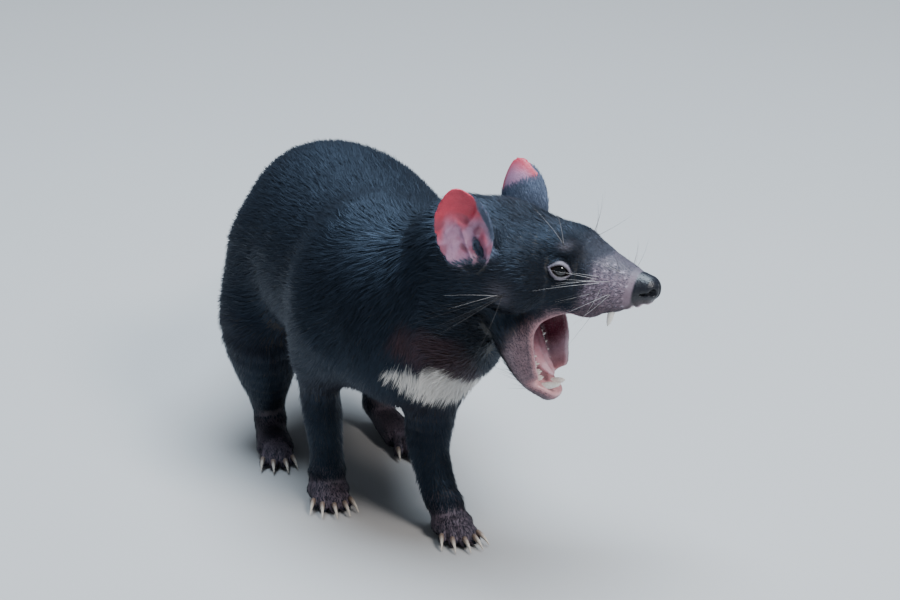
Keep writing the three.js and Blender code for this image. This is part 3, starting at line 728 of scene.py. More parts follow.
def muzzle_skin(h):
    x_edge = 80 - 4 * smooth(h[:, 2], 8, -10) + 12 * smooth(h[:, 2], 12, 24)
    return smooth(h[:, 0] - x_edge + 1.5 * wobble(h, 4), -4, 6) * smooth(h[:, 2], -40, -26)


def foot_skin(p):
    return smooth(p[:, 2] + 4 * wobble(p, 8), 40, 8)


def skin_marks(p):
    """Colour, roughness and how furred the skin is, at each of its points."""
    h = HEAD.local(p)
    on_head = headness(p) > 0.3
    colour = coat_colour(p)
    rough = np.full(len(p), 0.62)
    furred = 1 - 0.55 * foot_skin(p)
    colour = over(colour, "sole", 0.9 * foot_skin(p) * smooth(p[:, 2], 60, 30))
    cheek = bare_cheek(h) * on_head
    space = np.where(on_head, mouth_space(h), FAR)
    colour = over(colour, (0.055, 0.037, 0.044), cheek * 0.95)
    colour = over(colour, "mauve", cheek * smooth(space + 2 * wobble(h, 6), 17, 4))
    muzzle = muzzle_skin(h) * on_head
    colour = over(colour, "muzzle", muzzle * 0.95)
    colour = over(colour, (0.075, 0.072, 0.09), 0.8 * muzzle * smooth(h[:, 2], 5, 14))
    low_muzzle = muzzle * smooth(h[:, 2] + 0.1 * (100 - h[:, 0]), -6, -17)
    colour = over(colour, (0.085, 0.045, 0.06), 0.75 * low_muzzle)
    colour = over(colour, "dot", 0.9 * muzzle * dots(h))
    furred = furred * (1 - cheek) * (1 - muzzle)
    slit = slit_distance(h)
    ring = smooth(slit + 0.7 * wobble(h, 2.5), 5.4, 1.8) * on_head
    colour = over(colour, "rim", (0.62 + 0.25 * wobble(h, 3)) * ring)
    colour = over(colour, (0.012, 0.009, 0.010), smooth(slit, 0.75, 0.35) * on_head)
    furred = furred * (1 - smooth(slit, 4.0, 2.8) * on_head)
    rough = rough - 0.25 * smooth(slit, 1.0, 0.4) * on_head
    pad = smooth(h[:, 0], 110.5, 112.5) * on_head
    colour = over(colour, "pad", pad)
    rough = rough + (0.36 - rough) * pad
    furred = furred * (1 - smooth(h[:, 0], 100, 108) * on_head)
    wall = smooth(space, 3.4, 1.2)
    from_hinge = np.hypot(h[:, 0] - HINGE[0], h[:, 2] - HINGE[2])
    j = HEAD_TO_JAW.local(h)
    lining = np.tile(np.array(PAINTS["lining"]), (len(p), 1))
    # Lighter lilac pink towards the lips, partly the lining's own paler colour and partly painted light; the
    # dark maroon deep towards the throat is painted shade.
    lining = over(lining, (0.70, 0.52, 0.60), smooth(from_hinge, 46, 56) * smooth(j[:, 0], 78, 66) * 0.85)
    lining = over(lining, "painted_throat_shade", smooth(from_hinge + 3 * wobble(h, 10), 64, 46) * 0.97)
    lining = over(lining, "gum", smooth(j[:, 0], 56, 74) * smooth(j[:, 2], 22, 12))
    colour = colour + (lining - colour) * wall[:, None]
    rough = rough + (0.26 - rough) * wall
    rim = bump(space, 3.6, 1.8) * on_head * cheek
    colour = over(colour, (0.52, 0.25, 0.27), rim * 0.75)
    upper_lip = bump(space, 4.2, 1.6) * on_head * muzzle
    colour = over(colour, "lip", upper_lip * 0.8)
    furred = furred * (1 - wall)
    _, bare, rise, front, inner = ear_marks(p)
    ear = np.tile(np.array(PAINTS["lilac"]), (len(p), 1))
    reach = np.hypot(front * 0.9, np.minimum(rise, 0) * 0.3) - 0.25 * front
    inner_red = smooth(rise + 0.16 * wobble(p, 9) + 0.35 * smooth(reach, 0.6, 1.0), -0.05, 0.45)
    outer_red = smooth(np.hypot(front * 1.05, rise) + 0.10 * wobble(p, 7), 0.62, 0.95)
    ear = over(ear, "red", np.where(inner > 0.5, inner_red, outer_red))
    ear = over(ear, "red", 0.55 * inner * smooth(wobble(p, 6, 2), 0.1, 0.5) * smooth(rise, -0.7, -0.2))
    # Dark maroon in the ear's canal: painted shade in the hollow.
    ear = over(ear, (0.20, 0.045, 0.075), 0.75 * inner * bump(np.hypot(front - 0.33, rise + 0.56), 0, 0.2))
    blotches = inner * smooth(wobble(p, 4.5, 4), 0.15, 0.6) * smooth(rise, 0.6, 0.1)
    ear = over(ear, (0.24, 0.06, 0.10), 0.7 * blotches)
    colour = colour + (ear - colour) * bare[:, None]
    rough = rough + (0.5 - rough) * bare
    furred = furred * (1 - bare)
    return np.clip(colour, 0, 1), rough, furred


# The way the coat lies.
def coat_lie(p, n):
    h = HEAD.local(p)
    side = 1 - np.clip(n[:, 2], 0, 1)
    along = np.stack([0 * p[:, 0], 1 + 0 * p[:, 0], -0.55 * side], -1)
    front = smooth(p[:, 1], 30, -40)
    along = along + front[:, None] * np.array((-0.25, -0.3, -0.75))
    down = np.array((0, 0.28, -1.0))
    legs = legness(p)
    along = along + (down - along) * smooth(legs, 0.0, 0.5)[:, None]
    feet = smooth(p[:, 2], 34, 16)
    along = along + (np.array((0, -1.0, -0.4)) - along) * feet[:, None]
    line = np.array([s[:3] for s in TAIL_LINE], float)
    tail_way = unit(line[3] - line[1])
    along = along + (tail_way - along) * smooth(p[:, 1], 240, 285)[:, None]
    nose, chin = HEAD.world((120, 0, 4)), JAW.world((90, 0, 8))
    from_nose = unit(p - nose) + 0.25 * unit(HEAD.turn((-1, 0, 0)))
    from_chin = unit(p - chin)
    under = smooth(h[:, 2], -22, -44)
    head_way = from_nose + (from_chin - from_nose) * under[:, None]
    along = unit(along) + (unit(head_way) - unit(along)) * smooth(headness(p), 0.02, 0.6)[:, None]
    for place in EARS.values():
        e = place.local(p)
        on = smooth(e[:, 2], 2, 16) * (np.abs(e[:, 1]) < 26) * (np.abs(e[:, 0]) < 14) * (e[:, 2] < 70)
        along = along + (place.turn((0, 0, 1.0)) - along) * on[:, None]
    sway = 0.30 * wobble(p, 13) + 0.16 * wobble(p, 4.5, 1)
    along = along + sway[:, None] * np.cross(n, along)
    flat = along - (along * n).sum(1, keepdims=True) * n
    return unit(flat)


def coat_make(p, n):
    """Length and width of the tufts at a point, the layers they lie in, and how far they stand up."""
    h = HEAD.local(p)
    head = smooth(headness(p), 0.15, 0.9)
    legs = legness(p)
    length = 14.0 - 6.5 * legs
    width = 1.05 - 0.25 * legs
    lift = 11 - legs
    layers = 4.4 - 0.6 * legs
    tail_part = smooth(p[:, 1], 262, 300)
    length = length + 1.5 * tail_part - 9 * smooth(p[:, 1], 420, 480)
    face = 8.0 - 4.0 * smooth(h[:, 0], 25, 66) - 1.6 * smooth(h[:, 0], 70, 95)
    length = length + (face - length) * head
    width = width + ((0.85 - 0.35 * smooth(h[:, 0], 35, 75)) - width) * head
    lift = lift + (12 - lift) * head
    layers = layers + (3.6 - layers) * head
    feet = foot_skin(p) * smooth(p[:, 2], 60, 30)
    length = length + (3.6 - length) * feet
    width = width + (0.6 - width) * feet
    layers = layers + (1.1 - layers) * feet
    cheek, muzzle = bare_cheek(h) * head, muzzle_skin(h) * head
    thin = np.maximum(cheek, muzzle)
    length = length + (2.2 - length) * thin
    width = width + (0.42 - width) * thin
    layers = layers + (0.5 - layers) * thin
    leaf, bare, *_ = ear_marks(p)
    length = length + (4.0 - length) * leaf
    width = width + (0.6 - width) * leaf
    layers = layers + (3.0 - layers) * leaf
    layers = layers * (1 - smooth(bare, 0.3, 0.8))
    clear = (slit_distance(h) > 3.0) | (headness(p) < 0.3)
    pad = (h[:, 0] < 108) | (headness(p) < 0.3)
    dry = np.where(headness(p) > 0.3, mouth_space(h) > 3.0, True)
    sole = (p[:, 2] > 2.5) | (n[:, 2] > -0.3)
    layers = layers * clear * pad * dry * sole
    return length, width, lift, layers


# Making the pieces' meshes.
def mesh_piece(name, verts, faces, finish, slot, smooth_faces=True):
    """verts in millimetres on the body; faces an array of triangles or quads."""
    mesh = bpy.data.meshes.new(name)
    faces = np.asarray(faces, np.int32)
    size = faces.shape[1]
    mesh.vertices.add(len(verts))
    mesh.vertices.foreach_set("co", ((np.asarray(verts) + SHIFT) * MM).astype(np.float32).ravel())
    mesh.loops.add(faces.size)
    mesh.loops.foreach_set("vertex_index", faces.ravel())
    mesh.polygons.add(len(faces))
    mesh.polygons.foreach_set("loop_start", np.arange(0, faces.size, size, dtype=np.int32))
    mesh.update(calc_edges=True)
    mesh.polygons.foreach_set("use_smooth", np.full(len(faces), smooth_faces))
    thing = bpy.data.objects.new(name, mesh)
    bpy.context.scene.collection.objects.link(thing)
    mesh.materials.append(finish)
    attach(thing, "root")
    return thing


def add_marks(thing, **marks):
    """Stores values for each point of a mesh, colours as rows of three."""
    for name, values in marks.items():
        values = np.asarray(values, np.float32)
        if values.ndim == 2:
            layer = thing.data.attributes.new(name, "FLOAT_COLOR", "POINT")
            opaque = np.ones(len(values), np.float32)
            layer.data.foreach_set("color", np.column_stack([values, opaque]).ravel())
        else:
            layer = thing.data.attributes.new(name, "FLOAT", "POINT")
            layer.data.foreach_set("value", values)


def refine(mesh, choose):
    """Halves the faces that are chosen by their middles, in millimetres on the body."""
    bm = bmesh.new()
    bm.from_mesh(mesh)
    bm.faces.ensure_lookup_table()
    middles = np.array([f.calc_center_median() for f in bm.faces])
    picked = np.flatnonzero(choose(middles))
    edges = {e for i in picked for e in bm.faces[i].edges}
    bmesh.ops.subdivide_edges(bm, edges=list(edges), cuts=1, use_grid_fill=True)
    bmesh.ops.triangulate(bm, faces=[f for f in bm.faces if len(f.verts) > 4])
    bm.to_mesh(mesh)
    bm.free()


def points_of(mesh):
    co = np.empty(len(mesh.vertices) * 3, np.float32)
    mesh.vertices.foreach_get("co", co)
    return co.reshape(-1, 3).astype(float)


def edges_of(mesh):
    e = np.empty(len(mesh.edges) * 2, np.int32)
    mesh.edges.foreach_get("vertices", e)
    return e.reshape(-1, 2)


def even_out(mesh, p, shape, rounds, step, moving):
    """Evens out the spacing of the moving points, and puts them back on the shape each time."""
    e = edges_of(mesh)
    number = np.maximum(np.bincount(e.ravel(), minlength=len(p)), 1).astype(float)
    rise = None
    for _ in range(rounds):
        sums = [
            np.bincount(e[:, 0], p[e[:, 1], k], len(p)) + np.bincount(e[:, 1], p[e[:, 0], k], len(p))
            for k in range(3)
        ]
        total = np.stack(sums, -1)
        p = p.copy()
        p[moving] += 0.45 * (total[moving] / number[moving, None] - p[moving])
        p[moving], rise = settle(shape, p[moving], step, 1, rise)
    p[moving] = settle(shape, p[moving], step, 2)[0]
    return p


BODY_LOW, BODY_HIGH = (-112, -186, -12), (190, 500, 284)


def make_skin(finish):
    points, quads = surface_mesh(lambda p: flesh(p, 0.9), BODY_LOW, BODY_HIGH, STEP)
    mesh = bpy.data.meshes.new("skin")
    mesh.from_pydata(points.tolist(), [], quads.tolist())

    def on_head_or_feet(p):
        h = HEAD.local(p)
        head = (headness(p) > 0.25) & (h[:, 0] > 8)
        feet = (p[:, 2] < 24) & (p[:, 1] < 215)
        ears = np.zeros(len(p), bool)
        for place in EARS.values():
            e = place.local(p)
            ears |= np.all((e > (-20, -26, -2)) & (e < (12, 26, 70)), axis=1)
        return head | feet | ears

    def on_fine_parts(p):
        h = HEAD.local(p)
        return (eye_distance(h) < 13) | ((h[:, 0] > 106) & (headness(p) > 0.3))

    refine(mesh, on_head_or_feet)
    p = settle(flesh, points_of(mesh), STEP / 2, 3)[0]
    p = even_out(mesh, p, flesh, 3, 1.0, on_head_or_feet(p))
    mesh.vertices.foreach_set("co", p.astype(np.float32).ravel())
    refine(mesh, on_fine_parts)
    p = points_of(mesh)
    p = even_out(mesh, p, flesh, 3, 0.4, on_fine_parts(p))
    mesh.vertices.foreach_set("co", ((p + SHIFT) * MM).astype(np.float32).ravel())
    mesh.update()
    if sum_volume(mesh) < 0:
        mesh.flip_normals()
    thing = bpy.data.objects.new("skin", mesh)
    bpy.context.scene.collection.objects.link(thing)
    mesh.polygons.foreach_set("use_smooth", np.full(len(mesh.polygons), True))
    mesh.materials.append(finish)
    return thing, p


def triangles_of(mesh):
    mesh.calc_loop_triangles()
    tri = np.empty(len(mesh.loop_triangles) * 3, np.int32)
    mesh.loop_triangles.foreach_get("vertices", tri)
    loops = np.empty(len(mesh.loop_triangles) * 3, np.int32)
    mesh.loop_triangles.foreach_get("loops", loops)
    return tri.reshape(-1, 3), loops.reshape(-1, 3)


def sum_volume(mesh):
    tri, _ = triangles_of(mesh)
    p = points_of(mesh)
    a, b, c = (p[tri[:, i]] for i in range(3))
    return (a * np.cross(b, c)).sum()


def unwrap(thing):
    bpy.ops.object.select_all(action="DESELECT")
    thing.select_set(True)
    bpy.context.view_layer.objects.active = thing
    thing.data.uv_layers.new(name="OFBake")
    bpy.ops.object.mode_set(mode="EDIT")
    bpy.ops.mesh.select_all(action="SELECT")
    bpy.ops.uv.smart_project(angle_limit=1.15, island_margin=0.0005)
    bpy.ops.object.mode_set(mode="OBJECT")


TUFT_TOTAL = 350000
PIECE_TUFTS = 49000
PATCH = 0.003


def plant(skin, p):
    """Chooses the roots of the coat: places, normals, places on the unwrap, and how much wider tufts get."""
    mesh = skin.data
    tri, loops = triangles_of(mesh)
    a, b, c = (p[tri[:, i]] for i in range(3))
    cross = np.cross(b - a, c - a)
    area = np.linalg.norm(cross, axis=1) / 2
    middle = (a + b + c) / 3
    face_normal = unit(cross)
    length, width, _, layers = coat_make(middle, face_normal)
    number = layers * area / (length * width * 0.5)
    share = np.cumsum(number) / number.sum()
    total = int(min(TUFT_TOTAL, number.sum()))
    picks = np.searchsorted(share, (np.arange(total) + RNG.random(total)) / total)
    picks = np.minimum(picks, len(tri) - 1)
    r1, r2 = np.sqrt(RNG.random(total)), RNG.random(total)
    weights = np.stack([1 - r1, r1 * (1 - r2), r1 * r2], -1)
    roots = (p[tri[picks]] * weights[:, :, None]).sum(1)
    normals = np.empty(len(p) * 3, np.float32)
    mesh.vertices.foreach_get("normal", normals)
    normals = normals.reshape(-1, 3)
    n = unit((normals[tri[picks]] * weights[:, :, None]).sum(1))
    uv = np.empty(len(mesh.loops) * 2, np.float32)
    mesh.uv_layers["OFBake"].data.foreach_get("uv", uv)
    uv = uv.reshape(-1, 2)
    place = (uv[loops[picks]] * weights[:, :, None]).sum(1)
    stretch = math.sqrt(max(1.0, number.sum() / total))
    return roots, n, place, stretch


def tuft_meshes(roots, n, stretch):
    """Each tuft is a closed three-sided spike with a low ridge, wide at its root and fine at its tip."""
    total = len(roots)
    length, width, lift, _ = coat_make(roots, n)
    lie = coat_lie(roots, n)
    turn = RNG.normal(0, 0.10, total)
    lie = unit(lie + turn[:, None] * np.cross(n, lie))
    length = (length * RNG.uniform(0.75, 1.18, total))[:, None]
    width = (width * RNG.uniform(0.75, 1.25, total) * min(stretch, 2.6))[:, None]
    side = np.cross(lie, n)
    angle = np.radians(lift * RNG.uniform(0.5, 1.5, total))[:, None]
    tip = roots + length * (lie * np.cos(angle) + n * np.sin(angle))
    root = roots - n * np.minimum(0.5, length * 0.08)
    across = unit(side + RNG.normal(0, 0.25, total)[:, None] * n)
    half = across * width * 0.5
    ridge = root + n * width * 0.30 + lie * length * 0.12
    verts = np.stack([root - half, root + half, ridge, tip], 1).reshape(-1, 3)
    verts[:, 2] = np.maximum(verts[:, 2], 0.1)
    shape = np.array([(0, 2, 1), (0, 3, 2), (2, 3, 1), (1, 3, 0)])
    faces = (shape[None] + 4 * np.arange(total)[:, None, None]).reshape(-1, 3)
    return verts, faces


TUFT_UV = np.array([(-0.5, -0.5), (0.5, -0.5), (0, -0.3), (0, 0.5)])


def region_of(p):
    """Which part of the coat a root belongs to."""
    names = np.full(len(p), "coat_flanks", dtype="<U16")
    names[p[:, 1] < 45] = "coat_shoulders"
    names[p[:, 2] > 190] = "coat_back"
    names[legness(p) > 0.35] = "coat_legs"
    names[p[:, 1] > 255] = "coat_tail"
    names[headness(p) > 0.5] = "coat_head"
    return names


def make_coat(skin, p, finish):
    roots, n, place, stretch = plant(skin, p)
    regions = region_of(roots)
    for region in sorted(set(regions)):
        chosen = np.flatnonzero(regions == region)
        for k in range(0, len(chosen), PIECE_TUFTS):
            some = chosen[k:k + PIECE_TUFTS]
            verts, faces = tuft_meshes(roots[some], n[some], stretch)
            part = mesh_piece(f"{region}_{k // PIECE_TUFTS + 1}", verts, faces, finish, "fur", False)
            colour = coat_colour(roots[some])
            h = HEAD.local(roots[some])
            pale = np.maximum(bare_cheek(h), 0.6 * muzzle_skin(h)) * (headness(roots[some]) > 0.3)
            colour = over(colour, (0.10, 0.07, 0.085), pale * 0.6)
            add_marks(
                part,
                marking=np.repeat(colour, 4, axis=0),
                along=np.tile((0, 0, 0.15, 1.0), len(some)),
                chance=np.repeat(RNG.random(len(some)), 4),
            )
            layer = part.data.uv_layers.new(name="OFBake")
            flat = (place[some][:, None, :] + TUFT_UV[None] * PATCH).reshape(-1, 2)
            layer.data.foreach_set("uv", flat[faces.ravel()].astype(np.float32).ravel())


# Teeth, claws, tongue, eyes and whiskers.
def horn(path, radii, sides=8, flat=1.0, wide_way=(0, 1, 0)):
    """A closed tapering rod along a path, ending in a point or a small cap."""
    path = np.asarray(path, float)
    verts, faces = [], []
    ways = unit(np.gradient(path, axis=0))
    for at, way, r in zip(path, ways, radii):
        u = unit(np.asarray(wide_way) - (np.asarray(wide_way) @ way) * way)
        v = np.cross(way, u)
        for i in range(sides):
            angle = 2 * math.pi * i / sides
            verts.append(at + r * (math.cos(angle) * u + flat * math.sin(angle) * v))
    rings = len(path)
    for k in range(rings - 1):
        for i in range(sides):
            a, b = k * sides + i, k * sides + (i + 1) % sides
            faces += [(a, b, b + sides), (a, b + sides, a + sides)]
    verts += [path[0], path[-1] + ways[-1] * radii[-1]]
    first, last = len(verts) - 2, len(verts) - 1
    for i in range(sides):
        j = (i + 1) % sides
        faces += [(first, j, i), (last, (rings - 1) * sides + i, (rings - 1) * sides + j)]
    return np.array(verts), np.array(faces)


def join(parts):
    verts, faces, start = [], [], 0
    for v, f in parts:
        verts.append(v)
        faces.append(np.asarray(f) + start)
        start += len(v)
    return np.concatenate(verts), np.concatenate(faces)


def tooth(place, at, tall, thick, bend=(0, 0, 0), sides=8):
    t = np.linspace(0, 1, 8)[:, None]
    root = 4.0 * math.copysign(1, tall)
    path = np.array(at) + np.array((0, 0, 1.0)) * (-root + (tall + root) * t) + np.array(bend) * t ** 2
    radii = thick * np.sqrt(np.clip(1 - t[:, 0] ** 2.2, 0, 1)) * 0.98 + 0.12
    return horn(place.world(path), radii, sides, 0.75, place.turn((1, 0, 0)))


FAR_TEETH = 0.62  # height of the left side's teeth beside the right's


def tooth_row(place, canine, canine_tall, back, tall, incisors, bend):
    """One jaw's teeth: on each side a canine, six cheek teeth with three cusps, and incisors ahead."""
    out = []
    for side in SIDES.values():
        def at(t):
            q = np.array(canine) + (np.array(back) - np.array(canine)) * t
            return q * (1, side, 1)
        shown = 1.0 if side < 0 else FAR_TEETH
        out.append(tooth(place, at(0), canine_tall * shown, 2.9, (bend, side, 0)))
        for i, t in enumerate((0.2, 0.33, 0.5, 0.67, 0.84, 1.0)):
            size = 0.62 + 0.14 * i
            for along, share in ((-1.5, 0.75), (0.3, 1.0), (1.9, 0.66)):
                q = at(t) + (along * size, 0, 0)
                out.append(tooth(place, q, tall * size * share * shown, 1.45 * size, sides=6))
        for ahead, aside in incisors:
            q = (np.array(canine) + (ahead, aside - canine[1], 0)) * (1, side, 1)
            out.append(tooth(place, q, tall * 0.55, 1.15, sides=6))
    return join(out)


def make_teeth(finish):
    upper_front = ((5, 8.0), (7.5, 5.0), (8.8, 1.9))
    lower_front = ((3.2, 5.2), (4.8, 2.9), (5.4, 1.0))
    upper = tooth_row(HEAD, (99, 12.0, -13.5), -15.5, (58, 15.0, -20.5), -4.6, upper_front, -1.2)
    lower = tooth_row(JAW, (78, 7.6, 4.5), 15.0, (44, 14.2, 1.5), 7.2, lower_front, 1.2)
    mesh_piece("upper_teeth", *upper, finish, "claw_and_tooth")
    mesh_piece("lower_teeth", *lower, finish, "claw_and_tooth")


def make_claws(finish):
    for name, (place, hind) in FEET.items():
        length = 11.0 if hind else 13.5
        for i, (fan, reach) in enumerate(HIND_TOES if hind else FORE_TOES):
            turn = math.radians(fan * 0.6)
            root = np.array(toe_at(fan, reach + TOE_THICK - 1, 7.2))
            t = np.linspace(0, 1, 9)[:, None]
            way = np.array((math.cos(turn), math.sin(turn), 0))
            path = root + way * (length * t - 3.5) + np.array((0, 0, -1.0)) * 5.6 * t ** 2
            radii = 1.95 * (1 - 0.88 * t[:, 0] ** 1.3)
            v, f = horn(place.world(path), radii, 8, 1.25, place.turn(np.cross((0, 0, 1), way)))
            v[:, 2] = np.maximum(v[:, 2], 0.12)
            node = f"{name.replace('foot', 'claw')}_{i + 1}"
            claw = mesh_piece(f"{node}_horn", v, f, finish, "claw_and_tooth")
            add_marks(claw, along=np.clip(((v - place.world(path[0])) @ place.turn(way)) / length, 0, 1))
            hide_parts(node)


def ball_mesh(rings, sides):
    verts = [(0, 0, 1.0)]
    for k in range(1, rings):
        a = math.pi * k / rings
        for i in range(sides):
            b = 2 * math.pi * i / sides
            verts.append((math.sin(a) * math.cos(b), math.sin(a) * math.sin(b), math.cos(a)))
    verts.append((0, 0, -1.0))
    faces = []
    last = len(verts) - 1
    for i in range(sides):
        j = (i + 1) % sides
        faces.append((0, 1 + i, 1 + j))
        faces.append((last, last - sides + j, last - sides + i))
        for k in range(rings - 2):
            a, b = 1 + k * sides + i, 1 + k * sides + j
            faces += [(a, a + sides, b + sides), (a, b + sides, b)]
    return np.array(verts), np.array(faces)


def make_tongue(finish):
    v, f = ball_mesh(40, 48)
    x, y, z = v[:, 2], v[:, 0], v[:, 1]
    narrow = 1 - 0.25 * np.clip(x, 0, 1) ** 2
    q = np.stack([x * 27, y * 10.6 * narrow, z * 5.6 + 3.6 * x ** 2], -1)
    top = smooth(z, 0, 0.4)
    q[:, 2] -= 1.5 * bump(q[:, 1], 0, 2.0) * top * smooth(np.abs(x), 1, 0.75)
    q[:, 2] += 2.6 * smooth(x, 0.45, 1.0) + 0.16 * np.sin(q[:, 0] * 2.6) * np.sin(q[:, 1] * 2.9) * top
    piece = mesh_piece("tongue_flesh", JAW.world(q + (46, 0, 4.5)), f, finish, "tongue")
    add_marks(piece, along=(x + 1) / 2)
    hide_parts("tongue")


def make_eyes(finish):
    for name, side in SIDES.items():
        v, f = ball_mesh(36, 48)
        out = unit((0.5, 0.86 * side, 0.1))
        place = facing((0, 0, 0), out)
        local = v @ np.array([(0, 1, 0), (0, 0, 1), (1, 0, 0)])
        bulge = 1 + 0.035 * smooth(local[:, 0], 0.70, 0.95)
        q = place.world(local * bulge[:, None]) * EYE_RADIUS * 0.985 + EYE_AT * (1, side, 1)
        eye = mesh_piece(f"eyeball_{name}", HEAD.world(q), f, finish, "eye")
        add_marks(eye, ahead=local[:, 0])
        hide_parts(f"eye_{name}")


def whisker(root, way, droop, length, thick, steps=9):
    t = np.linspace(0, 1, steps)[:, None]
    path = root + unit(way) * length * t + np.asarray(droop) * length * t ** 2
    return horn(path, thick * (1 - 0.93 * t[:, 0]) + 0.02, 4)


def onto_skin(p, rounds=14):
    for _ in range(rounds):
        here, rise = slope_of(flesh, p)
        steep = np.maximum((rise ** 2).sum(1), 0.25)
        p = p - rise * np.clip(here / steep, -3, 3)[:, None]
    return p, unit(rise)


MUZZLE_WHISKERS = (94, 21, 0)


def make_whiskers(finish):
    groups = [
        # middle of the group and its spread in the head's frame, number, length, the way they sweep
        (MUZZLE_WHISKERS, (8, 0, 8), 16, (20, 46), (-0.70, 0.70, -0.34), 0.13),
        ((32, 48, -18), (3, 0, 3), 11, (30, 66), (-0.60, 0.42, -0.55), 0.14),
        ((63, 25, 21), (1.8, 0, 1.2), 4, (26, 40), (-0.10, 0.35, 0.95), 0.13),
        ((100, 12, 11), (4, 0, 2), 4, (16, 26), (0.10, 0.5, 0.75), 0.12),
    ]
    roots, ways, sizes = [], [], []
    for at, spread, count, (short, long), way, thick in groups:
        for side in SIDES.values():
            for _ in range(count):
                q = np.array(at) + RNG.uniform(-1, 1, 3) * spread
                roots.append(HEAD.world(q * (1, side, 1)))
                back = np.array(way) + RNG.normal(0, 0.28, 3)
                if at == MUZZLE_WHISKERS:
                    back = back + np.array((0, 0, 1)) * (q[2] * 0.05)
                ways.append(HEAD.turn(back * (1, side, 1)))
                sizes.append((RNG.uniform(short, long), thick))
    chin = [(72, 6, -14), (64, 11, -16), (80, 3, -8)]
    for at in chin:
        for side in SIDES.values():
            for _ in range(3):
                q = (np.array(at) + RNG.uniform(-1, 1, 3) * (4, 2, 1)) * (1, side, 1)
                roots.append(JAW.world(q))
                ways.append(JAW.turn(np.array((-0.6, 0.25 * side, -0.7)) + RNG.normal(0, 0.15, 3)))
                sizes.append((RNG.uniform(9, 17), 0.11))
    placed, n = onto_skin(np.array(roots))
    parts = []
    for root, normal, way, (length, thick) in zip(placed, n, ways, sizes):
        way = unit(way)
        facing_in = min(0.0, float(way @ normal) - 0.25)
        way = unit(way - normal * facing_in)
        droop = np.array((0, 0, -0.10)) + HEAD.turn((-0.16, 0, 0)) + RNG.normal(0, 0.03, 3)
        parts.append(whisker(root - normal * 0.5, way, droop, length, thick))
    verts, faces = join(parts)
    low = (np.array(cad_box[0]) / MM - SHIFT) - 8
    high = (np.array(cad_box[1]) / MM - SHIFT) + 8
    verts = np.clip(verts, low, high)
    piece = mesh_piece("whiskers", verts, faces, finish, "fur")
    add_marks(piece, chance=np.repeat(RNG.random(len(parts)), len(parts[0][0])))


# Materials. Sums on a Value add the nodes that work them out.
class Value:
    def __init__(self, finish, socket):
        self.finish = finish
        self.socket = socket

    def sum(self, operation, first, second):
        return self.finish.node("ShaderNodeMath", {"operation": operation}, {0: first, 1: second})

    def __add__(self, other):
        return self.sum("ADD", self, other)

    def __radd__(self, other):
        return self.sum("ADD", other, self)

    def __sub__(self, other):
        return self.sum("SUBTRACT", self, other)

    def __rsub__(self, other):
        return self.sum("SUBTRACT", other, self)

    def __mul__(self, other):
        return self.sum("MULTIPLY", self, other)

    def __rmul__(self, other):
        return self.sum("MULTIPLY", other, self)

    def between(self, low, high):
        """0 below low, 1 above high, smooth between."""
        return self.finish.node("ShaderNodeMapRange", {"interpolation_type": "SMOOTHSTEP"},
                                {"Value": self, "From Min": low, "From Max": high})


class Finish:
    """A material built on one shader. Fixed numbers are set on the shader's own sockets."""

    def __init__(self, name, **fixed):
        self.material = bpy.data.materials.new(name)
        self.material.use_nodes = True
        self.tree = self.material.node_tree
        self.tree.nodes.clear()
        out = self.tree.nodes.new("ShaderNodeOutputMaterial")
        self.shader = self.tree.nodes.new("ShaderNodeBsdfPrincipled")
        self.tree.links.new(self.shader.outputs[0], out.inputs[0])
        for socket, value in fixed.items():
            self.feed(self.shader.inputs[socket.replace("_", " ")], value)

    def feed(self, socket, value):
        if isinstance(value, Value):
            self.tree.links.new(value.socket, socket)
        elif isinstance(value, tuple) and len(value) == 3 and socket.type == "RGBA":
            socket.default_value = (*value, 1.0)
        else:
            socket.default_value = value

    def node(self, kind, settings=None, sockets=None, out=0):
        made = self.tree.nodes.new(kind)
        for name, value in (settings or {}).items():
            setattr(made, name, value)
        for name, value in (sockets or {}).items():
            self.feed(made.inputs[name], value)
        return Value(self, made.outputs[out])

    def mix(self, share, first, second, how="MIX"):
        settings = {"data_type": "RGBA", "blend_type": how}
        return self.node("ShaderNodeMix", settings, {0: share, 6: first, 7: second}, 2)

    def mark(self, name):
        return self.node("ShaderNodeAttribute", {"attribute_name": name}, out="Fac")

    def paint(self, name):
        return self.node("ShaderNodeAttribute", {"attribute_name": name}, out="Color")

    def place(self, stretch=None):
        at = self.node("ShaderNodeTexCoord", out="Object")
        if stretch:
            at = self.node("ShaderNodeVectorMath", {"operation": "MULTIPLY"}, {0: at, 1: stretch})
        return at

    def noise(self, size, detail=3.0, at=None):
        """Uneven values 0 to 1 with features about that many metres across."""
        return self.node("ShaderNodeTexNoise", sockets={"Vector": at or self.place(), "Scale": 1 / size,
                                                        "Detail": detail, "Roughness": 0.55})

    def cells(self, size):
        return self.node("ShaderNodeTexVoronoi", sockets={"Vector": self.place(), "Scale": 1 / size})

    def use(self, **sockets):
        for socket, value in sockets.items():
            self.feed(self.shader.inputs[socket.replace("_", " ")], value)

    def relief(self, height, depth):
        sockets = {"Height": height, "Distance": depth, "Strength": 1.0}
        self.use(Normal=self.node("ShaderNodeBump", sockets=sockets))


